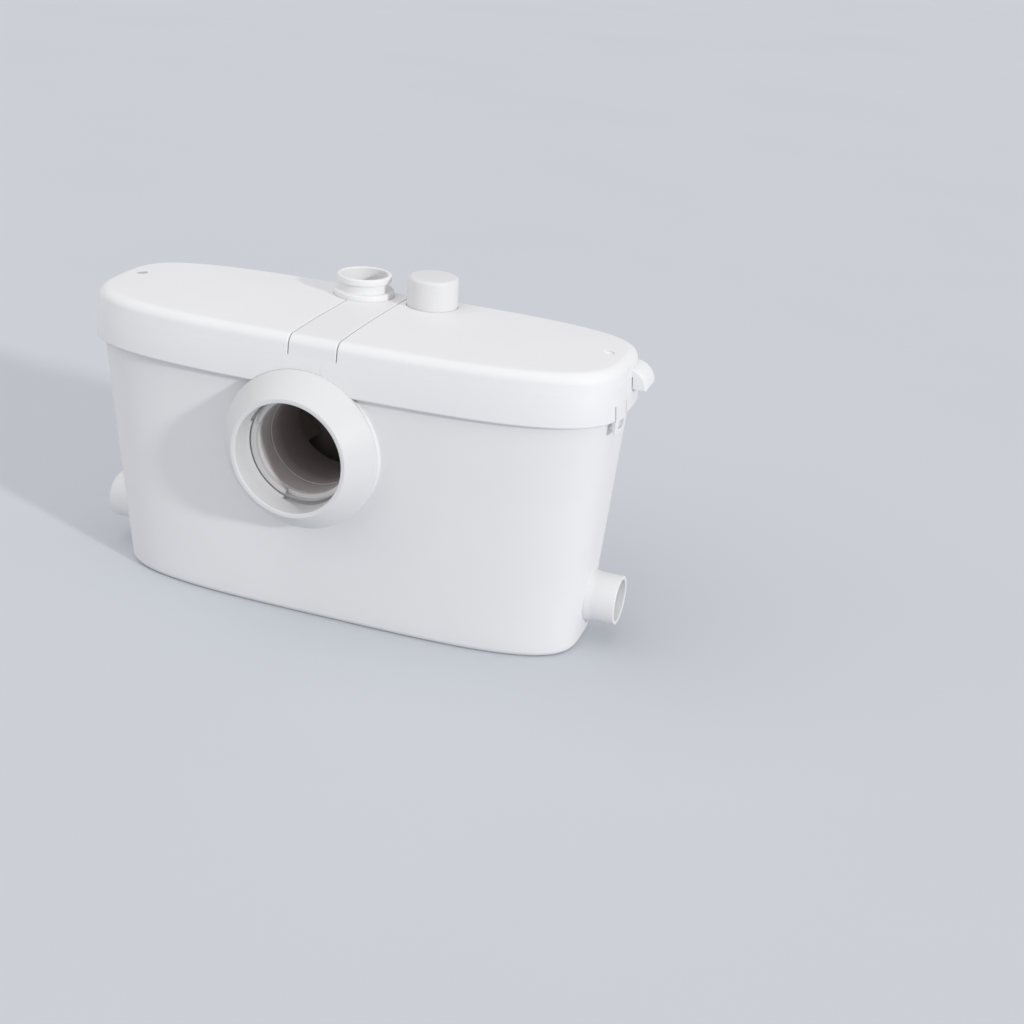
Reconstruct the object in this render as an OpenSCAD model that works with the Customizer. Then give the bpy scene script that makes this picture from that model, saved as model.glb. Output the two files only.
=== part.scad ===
// Macerator toilet pump: a floor standing tank with two lift-off lids, a WC inlet
// collar at the front, two low side inlets, a capped top inlet and a discharge neck.
// Millimetres. The front faces -Y, +X is to the right seen from the front, the base is on z = 0.

/* [Case] */
// Half length of the tank at the floor
base_half_l = 234; // [228:1:240]
// Half depth of the tank at the floor
base_half_d = 74; // [72:1:78]
// Half length of the lid outline
top_half_l = 250; // [246:1:256]
// Depth of the lid outline in front of the centre
top_front = 96; // [94:1:100]
// Depth of the lid outline behind the centre
top_rear = 76.5; // [75:0.5:80]
// Height of the lower edge of the casing skirt
skirt_z = 236.5; // [232:0.5:242]
// Height of the casing skirt up to the lids
skirt_h = 29.5; // [28:0.5:33]
// Height of the lids
lid_h = 18; // [17:0.5:22]
// Wall of the mouldings
wall = 4; // [3:0.25:4.5]
// Exponent of the plan outline, 2 is an ellipse
outline_n = 3.5; // [3:0.1:4]
// Left edge of the bridge between the lids
seam_l_x = -28; // [-31:1:-25]
// Right edge of the bridge between the lids
seam_r_x = 18; // [12:1:19]

/* [WC inlet] */
// Inlet axis to the right of the centre
wc_x = -14; // [-16:1:-12]
// Inlet axis height, the height of a pan outlet
wc_z = 180; // [178:0.5:182]
// Bore radius of the inlet collar
wc_bore_r = 51; // [49:0.5:52]
// Radius of the rear rim of the collar
wc_rim_r = 74.5; // [73:0.5:76]
// Length of the collar cone
wc_cone_h = 26.5; // [22:0.5:30]

/* [Side inlets] */
// Outer radius of the side spigots
side_r = 23.3; // [22:0.1:24]
// Height of the side spigots
side_z = 46; // [44:1:48]
// Side spigots behind the centre
side_y = 3.7; // [2:0.1:6]
// Length of the side spigots from the foot of the tank
side_l = 32; // [29:1:38]

/* [Top connections] */
// Discharge neck to the right of the centre
neck_x = -22.5; // [-24:0.5:-21]
// Discharge neck behind the centre
neck_y = 48; // [47:0.5:49]
// Bore radius of the discharge neck
neck_bore_r = 22; // [21.5:0.25:22.5]
// Discharge neck above the lids
neck_rise = 20.5; // [18:0.5:26]
// Top inlet to the right of the centre
cap_x = 47; // [46:0.5:49]
// Radius of the top inlet cap
cap_r = 24; // [23:0.25:24.5]
// Top inlet cap above the lids
cap_rise = 28.5; // [24:0.5:36]

/* [Macerator] */
// Height of the motor and cutter axis
pump_z = 72; // [71:0.5:73]
// Motor and cutter axis behind the centre
pump_y = -20; // [-20.5:0.5:-19]
// Radius of the motor housing
motor_r = 46; // [44:0.5:47]
// Inner radius of the grinder basket
basket_r = 46; // [44:0.5:46.5]
// Radius of the motor shaft
shaft_r = 6; // [5:0.25:7]
// Reach of the cutter blades
blade_r = 42; // [36:0.5:43]
// Radius of the impeller
impeller_r = 37; // [32:0.5:38]

/* [Level module] */
// Module axis in from the right end of the lid outline
module_in = 100; // [99:1:102]
// Module behind the centre
module_y = -5; // [-6:0.5:-4]
// Radius of the module flange
flange_r = 66; // [63:0.5:67]
// Radius of the sensing bell
bell_r = 52; // [48:0.5:53]

/* [Fits] */
// Gap between pieces of different bodies
gap = 0.4; // [0.3:0.05:0.6]
// Running clearance of shafts and pins
running = 0.04; // [0.02:0.01:0.08]

/* [Hidden] */
$fn = 64;
ring_n = 64;
e = 0.5;
// case heights
seat_drop = 16;
seal_t = 2.5;
deck_t = 4;
lid_z = skirt_z + skirt_h;
top_z = lid_z + lid_h;
rim_z = lid_z - seat_drop;
deck_z = rim_z + seal_t;
deck_top = deck_z + deck_t;
// case offsets from the lid outline
skirt_low = 7.6;
skirt_chamfer = 1.5;
skirt_top = 5;
skirt_t = 3.5;
tank_gap = 7;
lid_t = 3.5;
seam = 0.5;
edge_r = 5;
// lid profile: offsets from the outline and drops below the top
lid_mid = 3.8;
lid_side = 2.3;
lid_side_drop = 6.5;
lid_round = -0.4;
lid_round_drop = 3;
lid_turn = -4.5;
lid_turn_drop = 1;
crown_edge = -10;
crown_edge_drop = 0.3;
crown_mid = -40;
crown_mid_rise = 0.6;
crown_in = -66;
crown_in_rise = 0.8;
// tank outline at the skirt edge
rim_half_l = top_half_l + skirt_low - tank_gap;
rim_front = top_front + skirt_low - tank_gap;
rim_rear = top_rear + skirt_low - tank_gap;
// WC inlet
hub_r = wc_bore_r + 5;
hub_back = 84;
boss_r = wc_rim_r - 1.5;
boss_y = rim_front + 4.5;
rim_h = boss_y + gap;
front_h = rim_h + wc_cone_h;
rim_edge = 2.5;
cone_t = 3;
lip_r = 54;
lip_t = 3.5;
nose = 1;
collar_seal_t = 3.2;
collar_seal_share = 0.4325;
collar_seal_w = collar_seal_share * (wc_rim_r - hub_r);
ring_h = 100;
ring_t = 5;
ring_r = 45;
sleeve_r = hub_r - 2;
sleeve_h = ring_h - ring_t;
duct_t = 3;
step_angles = [72, 252];
step_arc = 88;
step_d = 4;
rim_gap = 0.6;
// side inlets
side_bore_r = side_r - 3.5;
side_half_l = base_half_l + side_l;
side_wall_x = grow(base_half_l, rim_half_l, side_z - side_r) - wall;
valve_head = 15;
valve_clear = 2.6;
side_in = side_wall_x - valve_head - valve_clear;
valve_stop = 16;
valve_sleeve = side_half_l - valve_stop - side_in;
side_step = 1.2;
side_stop_x = grow(base_half_l, rim_half_l, side_z + 1.5 * side_r) + side_step;
valve_bore_r = side_bore_r - 3;
flap_t = 3;
flap_r = side_r - 0.8;
flap_pin_r = 1.5;
flap_pin_dz = side_r + 2.8;
flap_ear_r = 3;
flap_ear_w = 8;
lug_t = 3;
lug_y = flap_ear_w + gap;
lug_reach = 12;
lug_back = 8;
lug_low = side_r - flap_pin_r;
flap_lap = 1.2;
flap_cover = valve_bore_r + flap_lap;
// neck
neck_wall = 4;
valve_wall = 2.4;
valve_chamber_r = neck_bore_r - 0.6;
neck_seat_z = deck_top + 5;
neck_r = neck_bore_r + neck_wall;
neck_low_r = neck_bore_r + valve_wall;
neck_ring_r = neck_r + 2.5;
neck_top = top_z + neck_rise;
neck_lip_h = 6.5;
neck_groove_h = 8;
neck_groove_r = neck_bore_r + 1.6;
neck_flange_r = neck_ring_r;
neck_flange_t = 3.5;
valve_drop = 17;
valve_z = deck_top - valve_drop;
valve_plate = 4;
hose_in_r = 12;
hose_t = 3.5;
hose_r = hose_in_r + hose_t;
nozzle_bore_r = 9.5;
nozzle_h = 22;
valve_r = 15.5;
valve_t = 2.5;
valve_pin_dx = 17;
valve_pin_dz = 3.4;
valve_pin_r = 1.2;
valve_ear_r = 2.4;
valve_ear_w = 5;
valve_lug_t = 2.5;
valve_lug_h = 6;
// top inlet
cap_y = neck_y;
cap_wall = 3.6;
spigot_r = cap_r - cap_wall - gap;
spigot_wall = 3;
cap_top = top_z + cap_rise;
cap_top_t = 3;
cap_edge = 3;
cap_foot = 2;
spigot_flange_r = cap_r + 2;
lid_hole = 1;
spigot_tail = 14;
// lids
screw_in = 18;
screw_x = top_half_l - screw_in;
screw_head_r = 4.3;
screw_head_h = 3;
screw_shank_r = 2;
recess_r = 5.2;
recess_boss_r = 8;
recess_drop = 7;
pillar_r = 5;
screw_end = 2;
hood_y = 15;
hood_w = 32;
hood_r = 18;
hood_t = 3;
hood_drop = 11;
hood_root = 4;
hood_gap = 0.9;
// latches
latch_y = -30;
latch_w = 22;
latch_t = 3;
latch_back = 0.3;
latch_drop = 12;
latch_up = 18;
latch_slit = 1.3;
latch_nose = 1.5;
latch_slot_w = 12;
latch_slot_h = 8;
catch_w = 10;
catch_h = 5;
catch_out = 2.5;
// left well
well_in = 105;
well_x = well_in - top_half_l;
well_y = -8;
well_half = 30;
well_r = 45;
well_depth = 56;
well_floor_z = deck_top - well_depth;
well_t = 3;
frame_rim = 6;
frame_t = 3;
frame_in = 7;
frame_rib = 8;
window_t = 2;
well_screw_r = 1.6;
well_screw_head_r = 2.6;
well_screw_head_h = 1.8;
cap_can_r = 17;
cap_can_h = 42;
cap_can_dx = -35;
block_l = 34;
block_w = 18;
block_h = 16;
block_dx = -4;
plug_r = 9;
plug_shank_r = 6.5;
plug_h = 6;
plug_tail = 8;
plug_dx = 34;
plug_dy = 17;
gland_x = -140;
gland_z = (deck_top + lid_z) / 2;
gland_r = 4.2;
gland_bore_r = 3.3;
gland_nut_r = 6.4;
gland_in = 8;
gland_out = 12;
gland_y = rear_y(gland_x, skirt_top) + 1.8;
// right well
module_x = top_half_l - module_in;
tub_r = flange_r + 4;
tub_t = 3;
tub_depth = 30.5;
tub_floor_top = deck_top - tub_depth;
tub_floor_t = 4;
port_r = 56;
// level module
flange_t = 6;
cup_r = 40;
cup_wall = 4;
cup_h = 14;
ledge_h = 4;
ledge_w = 5;
post_r = 6;
post_dx = 55;
post_h = 32;
knob_r = 8;
knob_h = 8;
collar_r = port_r - 1;
collar_h = 16;
ring_cord = 2;
tube_r = 24;
tube_wall = 3;
long_dx = -25;
short_dx = 27;
short_end_z = 110;
bell_rim_z = 36;
bell_rim_h = 8;
bell_cone_h = 28;
foot_step = 8;
foot_r = bell_r - foot_step;
foot_h = 10;
foot_seal_h = 10;
foot_seal_w = 6;
seat_slot = 14;
membrane_t = 2;
membrane_boss_r = 10;
membrane_boss_h = 4;
plunger_r = 4;
cup_lid_t = 3;
cup_hole_r = 7;
plunger_rise = 1.5;
switch_l = 28;
switch_w = 10;
switch_h = 16;
switch_dx = 6;
lever_gap = 2.4;
lever_t = 1;
lever_w = 6;
// macerator along X
motor_x0 = -170;
motor_x1 = -108;
motor_t = 3;
motor_wall_t = 6;
end_cap_t = 4;
fin_r = motor_r + 2;
bearing_r = 14;
bearing_w = 8;
bearing_boss_r = 18;
stator_x0 = -152;
stator_l = 32;
air_gap = 1;
rotor_r = 26;
seal_r = 11;
volute_x1 = -82;
volute_back = 4;
volute_wall = 4;
volute_in_r = motor_r - volute_wall;
eye_r = 15;
eye_plate_t = 3;
basket_x0 = volute_x1 + eye_plate_t;
basket_x1 = 46;
basket_t = 3;
basket_top = pump_z + basket_r;
slot_r = 4;
slot_pitch = 16;
nozzle_x = -94;
nozzle_dz = 34;
nozzle_end = 29;
hose_start = 23.2;
hose_bend = 18;
riser_bend = 30;
clamp_t = 1.6;
clamp_w = 5;
blade_w = 16;
blade_t = 2.5;
blade_tip = 10;
blade_x = -70;
blade_step = 6;
hub_len = 16;
cutter_hub_r = 12;
nut_r = 10;
nut_len = 8;
shaft_x0 = -168;
shaft_x1 = -46;
impeller_x = -102;
impeller_t = 3;
vane_h = 12;
vane_t = 3;
vane_n = 6;
cradle_w = 10;
cradle_half = 36;
cradle_top = 50;
rail_half = 14;
rail_h = 6;
chute_top = 150;
chute_back = 29;

// plan outline of half length hl, front depth f and rear depth r at height z
function se(c) = sign(c) * pow(abs(c), 2 / outline_n);
function turn(i) = 360 * i / ring_n;
function depth(t, f, r) = sin(t) < 0 ? f : r;
function ring(hl, f, r, z) = [for (i = [0 : ring_n - 1])
  [hl * se(cos(turn(i))), depth(turn(i), f, r) * se(sin(turn(i))), z]];
function rear_y(x, d) = (top_rear + d) * pow(1 - pow(abs(x) / (top_half_l + d), outline_n), 1 / outline_n);
function lid_ring(d, z) = ring(top_half_l + d, top_front + d, top_rear + d, z);
// the skirt's offset from the lid outline at a height above its chamfer
function skirt_at(z) = skirt_low - (skirt_low - skirt_top) * (z - skirt_z - skirt_chamfer)
  / (lid_z - skirt_z - skirt_chamfer);
function well_screw_y(k) = well_y + k * (well_r + frame_rim / 2);
function grow(a, b, z) = a + (b - a) * z / skirt_z;
function tank_ring(d, z) = ring(grow(base_half_l, rim_half_l, z) + d,
  grow(base_half_d, rim_front, z) + d, grow(base_half_d, rim_rear, z) + d, z);
function lid_rings(d, dz) = [lid_ring(skirt_top - d, lid_z - (dz > 0 ? e : 0)),
  lid_ring(lid_mid - d, lid_z + 0.45 * lid_h - dz / 2), lid_ring(lid_side - d, top_z - lid_side_drop - dz),
  lid_ring(lid_round - d, top_z - lid_round_drop - dz), lid_ring(lid_turn - d, top_z - lid_turn_drop - dz),
  lid_ring(crown_edge - d, top_z - crown_edge_drop - dz),
  lid_ring(crown_mid - d, top_z + crown_mid_rise - dz), lid_ring(crown_in - d, top_z + crown_in_rise - dz)];

// solid through a list of rings, lowest first
module loft(rings) {
  n = ring_n;
  k = len(rings);
  polyhedron(
    points = [for (r = rings) each r],
    faces = concat(
      [[for (i = [0 : n - 1]) i]],
      [for (j = [0 : k - 2]) for (i = [0 : n - 1])
        [j * n + i, (j + 1) * n + i, (j + 1) * n + (i + 1) % n]],
      [for (j = [0 : k - 2]) for (i = [0 : n - 1])
        [j * n + i, (j + 1) * n + (i + 1) % n, j * n + (i + 1) % n]],
      [[for (i = [n - 1 : -1 : 0]) (k - 1) * n + i]]));
}

// box from one corner to the other
module span(a, b) {
  translate(a)
    cube(b - a);
}

// cylinder along +X
module xcyl(x0, x1, y, z, r) {
  translate([x0, y, z])
    rotate([0, 90, 0])
      cylinder(h = x1 - x0, r = r);
}

// cylinder along Y between y0 and y1
module ycyl(x, y0, y1, z, r) {
  translate([x, y1, z])
    rotate([90, 0, 0])
      cylinder(h = y1 - y0, r = r);
}

// cylinder along +Z
module zcyl(x, y, z0, z1, r) {
  translate([x, y, z0])
    cylinder(h = z1 - z0, r = r);
}

// part on the macerator axis from x0 to x1
module pump_cyl(x0, x1, r) {
  xcyl(x0, x1, pump_y, pump_z, r);
}

module pump_tube(x0, x1, r_in, r_out) {
  difference() {
    pump_cyl(x0, x1, r_out);
    pump_cyl(x0 - e, x1 + e, r_in);
  }
}

// stadium plan of end radius r around the left well
module well_plan(z0, z1, r) {
  translate([well_x, well_y, z0])
    linear_extrude(z1 - z0)
      union() {
        translate([-well_half, 0])
          circle(r);
        translate([well_half, 0])
          circle(r);
        square([2 * well_half, 2 * r], center = true);
      }
}

module tank_catch(s) {
  x = rim_half_l;
  mirror([s < 0 ? 1 : 0, 0, 0])
    span([x - wall - 1, latch_y - catch_w / 2, skirt_z - latch_slot_h + 1],
      [x + catch_out, latch_y + catch_w / 2, skirt_z - latch_slot_h + 1 + catch_h]);
}

// round seat of the inlet collar, cut back under the casing seat
module wc_boss() {
  difference() {
    ycyl(wc_x, -boss_y, -rim_front + 3 * wall, wc_z, boss_r);
    span([wc_x - boss_r, -rim_front - seal_t, rim_z], [wc_x + boss_r, 0, lid_z]);
  }
}

module tank() {
  color("white")
    union() {
      difference() {
        union() {
          loft([tank_ring(-edge_r, 0), tank_ring(-0.4 * edge_r, 0.25 * edge_r),
            tank_ring(-0.1 * edge_r, 0.65 * edge_r), tank_ring(0, 1.3 * edge_r),
            tank_ring(0, rim_z)]);
          wc_boss();
          tank_catch(1);
          tank_catch(-1);
          xcyl(base_half_l - wall, side_half_l, side_y, side_z, side_r);
          xcyl(-side_half_l, wall - base_half_l, side_y, side_z, side_r);
          // stop for the sleeve at the root of each spigot
          xcyl(base_half_l - wall, side_stop_x, side_y, side_z, side_r + side_step);
          xcyl(-side_stop_x, wall - base_half_l, side_y, side_z, side_r + side_step);
        }
        loft([tank_ring(-wall - edge_r, wall), tank_ring(-wall, wall + edge_r),
          tank_ring(-wall, rim_z + e)]);
        ycyl(wc_x, -boss_y - e, 0, wc_z, hub_r);
        xcyl(side_in, side_half_l + e, side_y, side_z, side_bore_r);
        xcyl(-side_half_l - e, -side_in, side_y, side_z, side_bore_r);
      }
      bell_seat();
    }
}

module bell_seat() {
  x = module_x + long_dx;
  z1 = bell_rim_z - foot_h - foot_seal_h;
  difference() {
    zcyl(x, module_y, wall - e, z1, foot_r);
    zcyl(x, module_y, 0, z1 + e, foot_r - foot_seal_w);
    span([x - bell_r, module_y - seat_slot / 2, wall], [x + bell_r, module_y + seat_slot / 2, z1 + e]);
    span([x - seat_slot / 2, module_y - bell_r, wall], [x + seat_slot / 2, module_y + bell_r, z1 + e]);
  }
}

module latch(s) {
  d = skirt_low - latch_back;
  x0 = top_half_l - skirt_low;
  x1 = top_half_l + 2 * skirt_low;
  z0 = skirt_z - latch_drop;
  z1 = skirt_z + latch_up;
  low_z = skirt_z + skirt_chamfer;
  high_d = skirt_at(z1) - latch_back;
  mirror([s < 0 ? 1 : 0, 0, 0])
    difference() {
      intersection() {
        loft([lid_ring(d - latch_nose, z0), lid_ring(d, z0 + latch_nose),
          lid_ring(d, low_z), lid_ring(high_d, z1)]);
        span([x0, latch_y - latch_w / 2, z0 - e], [x1, latch_y + latch_w / 2, z1 + e]);
      }
      loft([lid_ring(d - latch_t, z0 - e), lid_ring(d - latch_t, low_z), lid_ring(high_d - latch_t, z1 + e)]);
      span([x0, latch_y - latch_slot_w / 2, skirt_z - latch_slot_h],
        [x1, latch_y + latch_slot_w / 2, skirt_z - e]);
    }
}

module latch_slits(s) {
  x0 = top_half_l - skirt_low;
  x1 = top_half_l + 2 * skirt_low;
  mirror([s < 0 ? 1 : 0, 0, 0])
    for (k = [-1, 1])
      span([x0, latch_y + k * (latch_w + latch_slit) / 2 - latch_slit / 2, skirt_z - e],
        [x1, latch_y + k * (latch_w + latch_slit) / 2 + latch_slit / 2, deck_z - wall / 2]);
}

module bridge() {
  x0 = seam_l_x + seam;
  x1 = seam_r_x - seam;
  y1 = top_front + top_rear;
  difference() {
    intersection() {
      loft(lid_rings(0, 0));
      span([x0, -y1, lid_z], [x1, y1, top_z + wall]);
    }
    intersection() {
      loft(lid_rings(lid_t, lid_t));
      span([x0 + lid_t, -y1, lid_z - e], [x1 - lid_t, y1, top_z + wall]);
    }
    zcyl(neck_x, neck_y, lid_z - e, top_z + wall, neck_ring_r + gap);
    zcyl(cap_x, cap_y, lid_z - e, top_z + wall, cap_r + lid_hole);
  }
  // the bridge walls stand on the deck
  difference() {
    span([x0, -top_front + lid_t, deck_top], [x1, top_rear - lid_t, lid_z]);
    span([x0 + lid_t, -top_front, deck_top - e], [x1 - lid_t, top_rear, lid_z + e]);
    zcyl(neck_x, neck_y, deck_top - e, lid_z + e, neck_flange_r + gap);
    zcyl(cap_x, cap_y, deck_top - e, lid_z + e, spigot_flange_r + gap);
  }
}

module top_casing() {
  color("white")
    union() {
      difference() {
        union() {
          difference() {
            loft([lid_ring(skirt_low - skirt_chamfer, skirt_z),
              lid_ring(skirt_low, skirt_z + skirt_chamfer), lid_ring(skirt_top, lid_z)]);
            loft([lid_ring(skirt_low - skirt_t, skirt_z - e), lid_ring(skirt_top - skirt_t + 1, deck_z)]);
            loft([lid_ring(skirt_top - skirt_t - e, deck_top),
              lid_ring(skirt_top - skirt_t - e, lid_z + e)]);
            latch_slits(1);
            latch_slits(-1);
            ycyl(wc_x, -top_front - 3 * skirt_low, -rim_front + 0.5, wc_z, wc_rim_r + rim_gap);
          }
          well_plan(well_floor_z - well_t, deck_z + e, well_r + well_t);
          zcyl(module_x, module_y, tub_floor_top - tub_floor_t, deck_z + e, tub_r + tub_t);
          zcyl(-screw_x, 0, deck_top - e, lid_z - e, pillar_r);
          zcyl(screw_x, 0, deck_top - e, lid_z - e, pillar_r);
        }
        well_plan(well_floor_z, lid_z, well_r);
        zcyl(module_x, module_y, tub_floor_top, lid_z, tub_r);
        zcyl(module_x, module_y, tub_floor_top - wall - e, lid_z, port_r);
        for (k = [-1, 1])
          zcyl(well_x + plug_dx, well_y + k * plug_dy, well_floor_z - wall, deck_z, plug_shank_r);
        for (k = [-1, 1])
          zcyl(k * screw_x, 0, deck_z - e, lid_z, screw_shank_r + gap);
        for (i = [-1, 1])
          for (k = [-1, 1])
            zcyl(well_x + i * well_half, well_screw_y(k), deck_z - e, lid_z, well_screw_r);
        zcyl(neck_x, neck_y, deck_z - e, lid_z, neck_low_r);
        zcyl(cap_x, cap_y, deck_z - e, lid_z, spigot_r);
        ycyl(gland_x, gland_y - gland_in, gland_y + gland_out, gland_z, gland_r);
      }
      bridge();
      latch(1);
      latch(-1);
    }
}

module casing_seal() {
  color("black")
    difference() {
      loft([tank_ring(-0.3, rim_z), tank_ring(-0.3, deck_z)]);
      loft([tank_ring(-wall, rim_z - e), tank_ring(-wall, deck_z + e)]);
    }
}

module lid_half(x0, x1, wall_x) {
  y1 = top_front + top_rear;
  intersection() {
    difference() {
      loft(lid_rings(0, 0));
      loft(lid_rings(lid_t, lid_t));
    }
    span([x0, -y1, lid_z - e], [x1, y1, top_z + wall]);
  }
  intersection() {
    loft(lid_rings(0.2, 0));
    span([wall_x - lid_t / 2, -y1, lid_z], [wall_x + lid_t / 2, y1, top_z - lid_t / 2]);
  }
}

module recess_boss(x) {
  z0 = top_z - recess_drop - screw_head_h;
  difference() {
    zcyl(x, 0, z0 - lid_t, top_z - lid_t / 2, recess_boss_r);
    zcyl(x, 0, z0, top_z + wall, recess_r);
    zcyl(x, 0, z0 - wall - e, top_z, screw_shank_r);
  }
}

module lid_screw(x) {
  z0 = top_z - recess_drop - screw_head_h;
  color("dimgray")
    union() {
      zcyl(x, 0, z0, z0 + screw_head_h, screw_head_r);
      zcyl(x, 0, deck_top + screw_end, z0 + e, screw_shank_r);
    }
}

module left_lid() {
  color("white")
    union() {
      difference() {
        lid_half(-top_half_l - skirt_low, seam_l_x - seam, seam_l_x - seam - lid_t / 2);
        zcyl(neck_x, neck_y, lid_z - wall, top_z + wall, neck_flange_r + gap);
        zcyl(-screw_x, 0, lid_z, top_z + wall, recess_r);
      }
      recess_boss(-screw_x);
    }
}

module right_lid() {
  color("white")
    union() {
      difference() {
        lid_half(seam_r_x + seam, top_half_l + skirt_low, seam_r_x + seam + lid_t / 2);
        zcyl(cap_x, cap_y, lid_z - wall, top_z + wall, cap_r + lid_hole);
        zcyl(screw_x, 0, lid_z, top_z + wall, recess_r);
      }
      recess_boss(screw_x);
      hood();
    }
}

module hood() {
  x = top_half_l + skirt_top - hood_root;
  z = lid_z - hood_drop;
  difference() {
    ycyl(x, hood_y - hood_w / 2, hood_y + hood_w / 2, z, hood_r);
    ycyl(x, hood_y - hood_w / 2 + hood_t, hood_y + hood_w / 2 - hood_t, z, hood_r - hood_t);
    span([x - 2 * hood_r, hood_y - hood_w, z - 2 * hood_r], [x + 2 * hood_r, hood_y + hood_w, z]);
    loft(lid_rings(lid_t / 2, lid_t / 2));
    loft([lid_ring(skirt_at(z) + hood_gap, z - e), lid_ring(skirt_top + hood_gap, lid_z)]);
    span([x - 2 * hood_r, hood_y - hood_w, z - e], [x - hood_root, hood_y + hood_w, top_z]);
  }
}

module left_lid_screw() {
  lid_screw(-screw_x);
}

module right_lid_screw() {
  lid_screw(screw_x);
}

module inlet_collar() {
  color("white")
    translate([wc_x, 0, wc_z])
      rotate([90, 0, 0])
        rotate_extrude()
          polygon([[wc_bore_r, ring_h], [wc_bore_r, front_h - nose], [wc_bore_r + nose, front_h],
            [lip_r - nose, front_h], [lip_r + lip_t - nose, front_h - nose],
            [wc_rim_r - nose, rim_h + rim_edge + nose], [wc_rim_r, rim_h + rim_edge], [wc_rim_r, rim_h],
            [wc_rim_r - cone_t, rim_h], [wc_rim_r - cone_t, rim_h + rim_edge],
            [hub_r + collar_seal_w, boss_y + collar_seal_t + 3 * cone_t],
            [hub_r + collar_seal_w, boss_y + collar_seal_t], [hub_r, boss_y + collar_seal_t],
            [hub_r, hub_back], [sleeve_r, hub_back], [sleeve_r, ring_h]]);
}

module collar_seal() {
  color("black")
    translate([wc_x, 0, wc_z])
      rotate([90, 0, 0])
        rotate_extrude()
          polygon([[hub_r, boss_y], [hub_r + collar_seal_w, boss_y],
            [hub_r + collar_seal_w, boss_y + collar_seal_t], [hub_r, boss_y + collar_seal_t]]);
}

module inlet_inner_ring() {
  color("lightgray")
    difference() {
      ycyl(wc_x, -ring_h, -sleeve_h, wc_z, sleeve_r);
      ycyl(wc_x, -ring_h - e, -sleeve_h + e, wc_z, ring_r);
      // the ring steps back between its two long tabs
      for (a = step_angles)
        translate([wc_x, -sleeve_h + e, wc_z])
          rotate([90, 0, 0])
            rotate([0, 0, a])
              rotate_extrude(angle = step_arc)
                translate([ring_r - step_d, 0])
                  square([2 * step_d, ring_t + 2 * e]);
    }
}

module inlet_chute() {
  x0 = basket_x0;
  x1 = basket_x1;
  y0 = pump_y - basket_r - basket_t;
  color("dimgray")
    difference() {
      union() {
        ycyl(wc_x, -sleeve_h, chute_back, wc_z, sleeve_r);
        span([x0, y0, basket_top], [x1, chute_back, chute_top]);
      }
      ycyl(wc_x, -sleeve_h - e, chute_back - duct_t, wc_z, sleeve_r - duct_t);
      span([x0 + duct_t, y0 + duct_t, basket_top - e],
        [x1 - duct_t, chute_back - duct_t, chute_top - duct_t]);
    }
}

// check valve insert: a head with the flap's lugs inside the tank, a sleeve in the stub
module check_valve(s) {
  color("gainsboro")
    mirror([s < 0 ? 1 : 0, 0, 0])
      difference() {
        union() {
          xcyl(side_in, side_in + valve_head, side_y, side_z, side_r);
          xcyl(side_in, side_in + valve_sleeve, side_y, side_z, side_bore_r);
          for (k = [-1, 1])
            translate([0, k * (lug_y + lug_t / 2), 0])
              span([side_in - lug_reach + flap_t, side_y - lug_t / 2, side_z + side_r - flap_ear_r],
                [side_in + lug_back, side_y + lug_t / 2, side_z + flap_pin_dz + flap_ear_r]);
        }
        xcyl(side_in - lug_reach - e, side_in, side_y, side_z, flap_r + gap);
        span([side_in - lug_reach - e, side_y - 2 * lug_y, side_z],
          [side_in, side_y + 2 * lug_y, side_z + lug_low]);
        xcyl(side_in - e, side_half_l, side_y, side_z, valve_bore_r);
        ycyl(side_in - flap_t / 2, side_y - 2 * lug_y, side_y + 2 * lug_y, side_z + flap_pin_dz,
          flap_pin_r);
      }
}

module left_check_valve() {
  check_valve(-1);
}

module right_check_valve() {
  check_valve(1);
}

module side_flap(s) {
  x = side_in - flap_t / 2;
  z = side_z + flap_pin_dz;
  color("black")
    mirror([s < 0 ? 1 : 0, 0, 0])
      difference() {
        union() {
          xcyl(side_in - flap_t, side_in, side_y, side_z, flap_r);
          ycyl(x, side_y - flap_ear_w, side_y + flap_ear_w, z, flap_ear_r);
          span([side_in - flap_t, side_y - flap_ear_w, side_z], [side_in, side_y + flap_ear_w, z]);
        }
        ycyl(x, side_y - 2 * flap_ear_w, side_y + 2 * flap_ear_w, z, flap_pin_r + running);
        // corners cut off below the lugs
        span([side_in - 2 * flap_t, side_y - side_r, side_z + flap_cover],
          [side_in + e, side_y - flap_ear_w, z]);
        span([side_in - 2 * flap_t, side_y + flap_ear_w, side_z + flap_cover],
          [side_in + e, side_y + side_r, z]);
      }
}

module left_flap() {
  side_flap(-1);
}

module right_flap() {
  side_flap(1);
}

module side_pin(s) {
  color("silver")
    mirror([s < 0 ? 1 : 0, 0, 0])
      ycyl(side_in - flap_t / 2, side_y - lug_y - lug_t, side_y + lug_y + lug_t,
        side_z + flap_pin_dz, flap_pin_r);
}

module left_flap_pin() {
  side_pin(-1);
}

module right_flap_pin() {
  side_pin(1);
}

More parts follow.
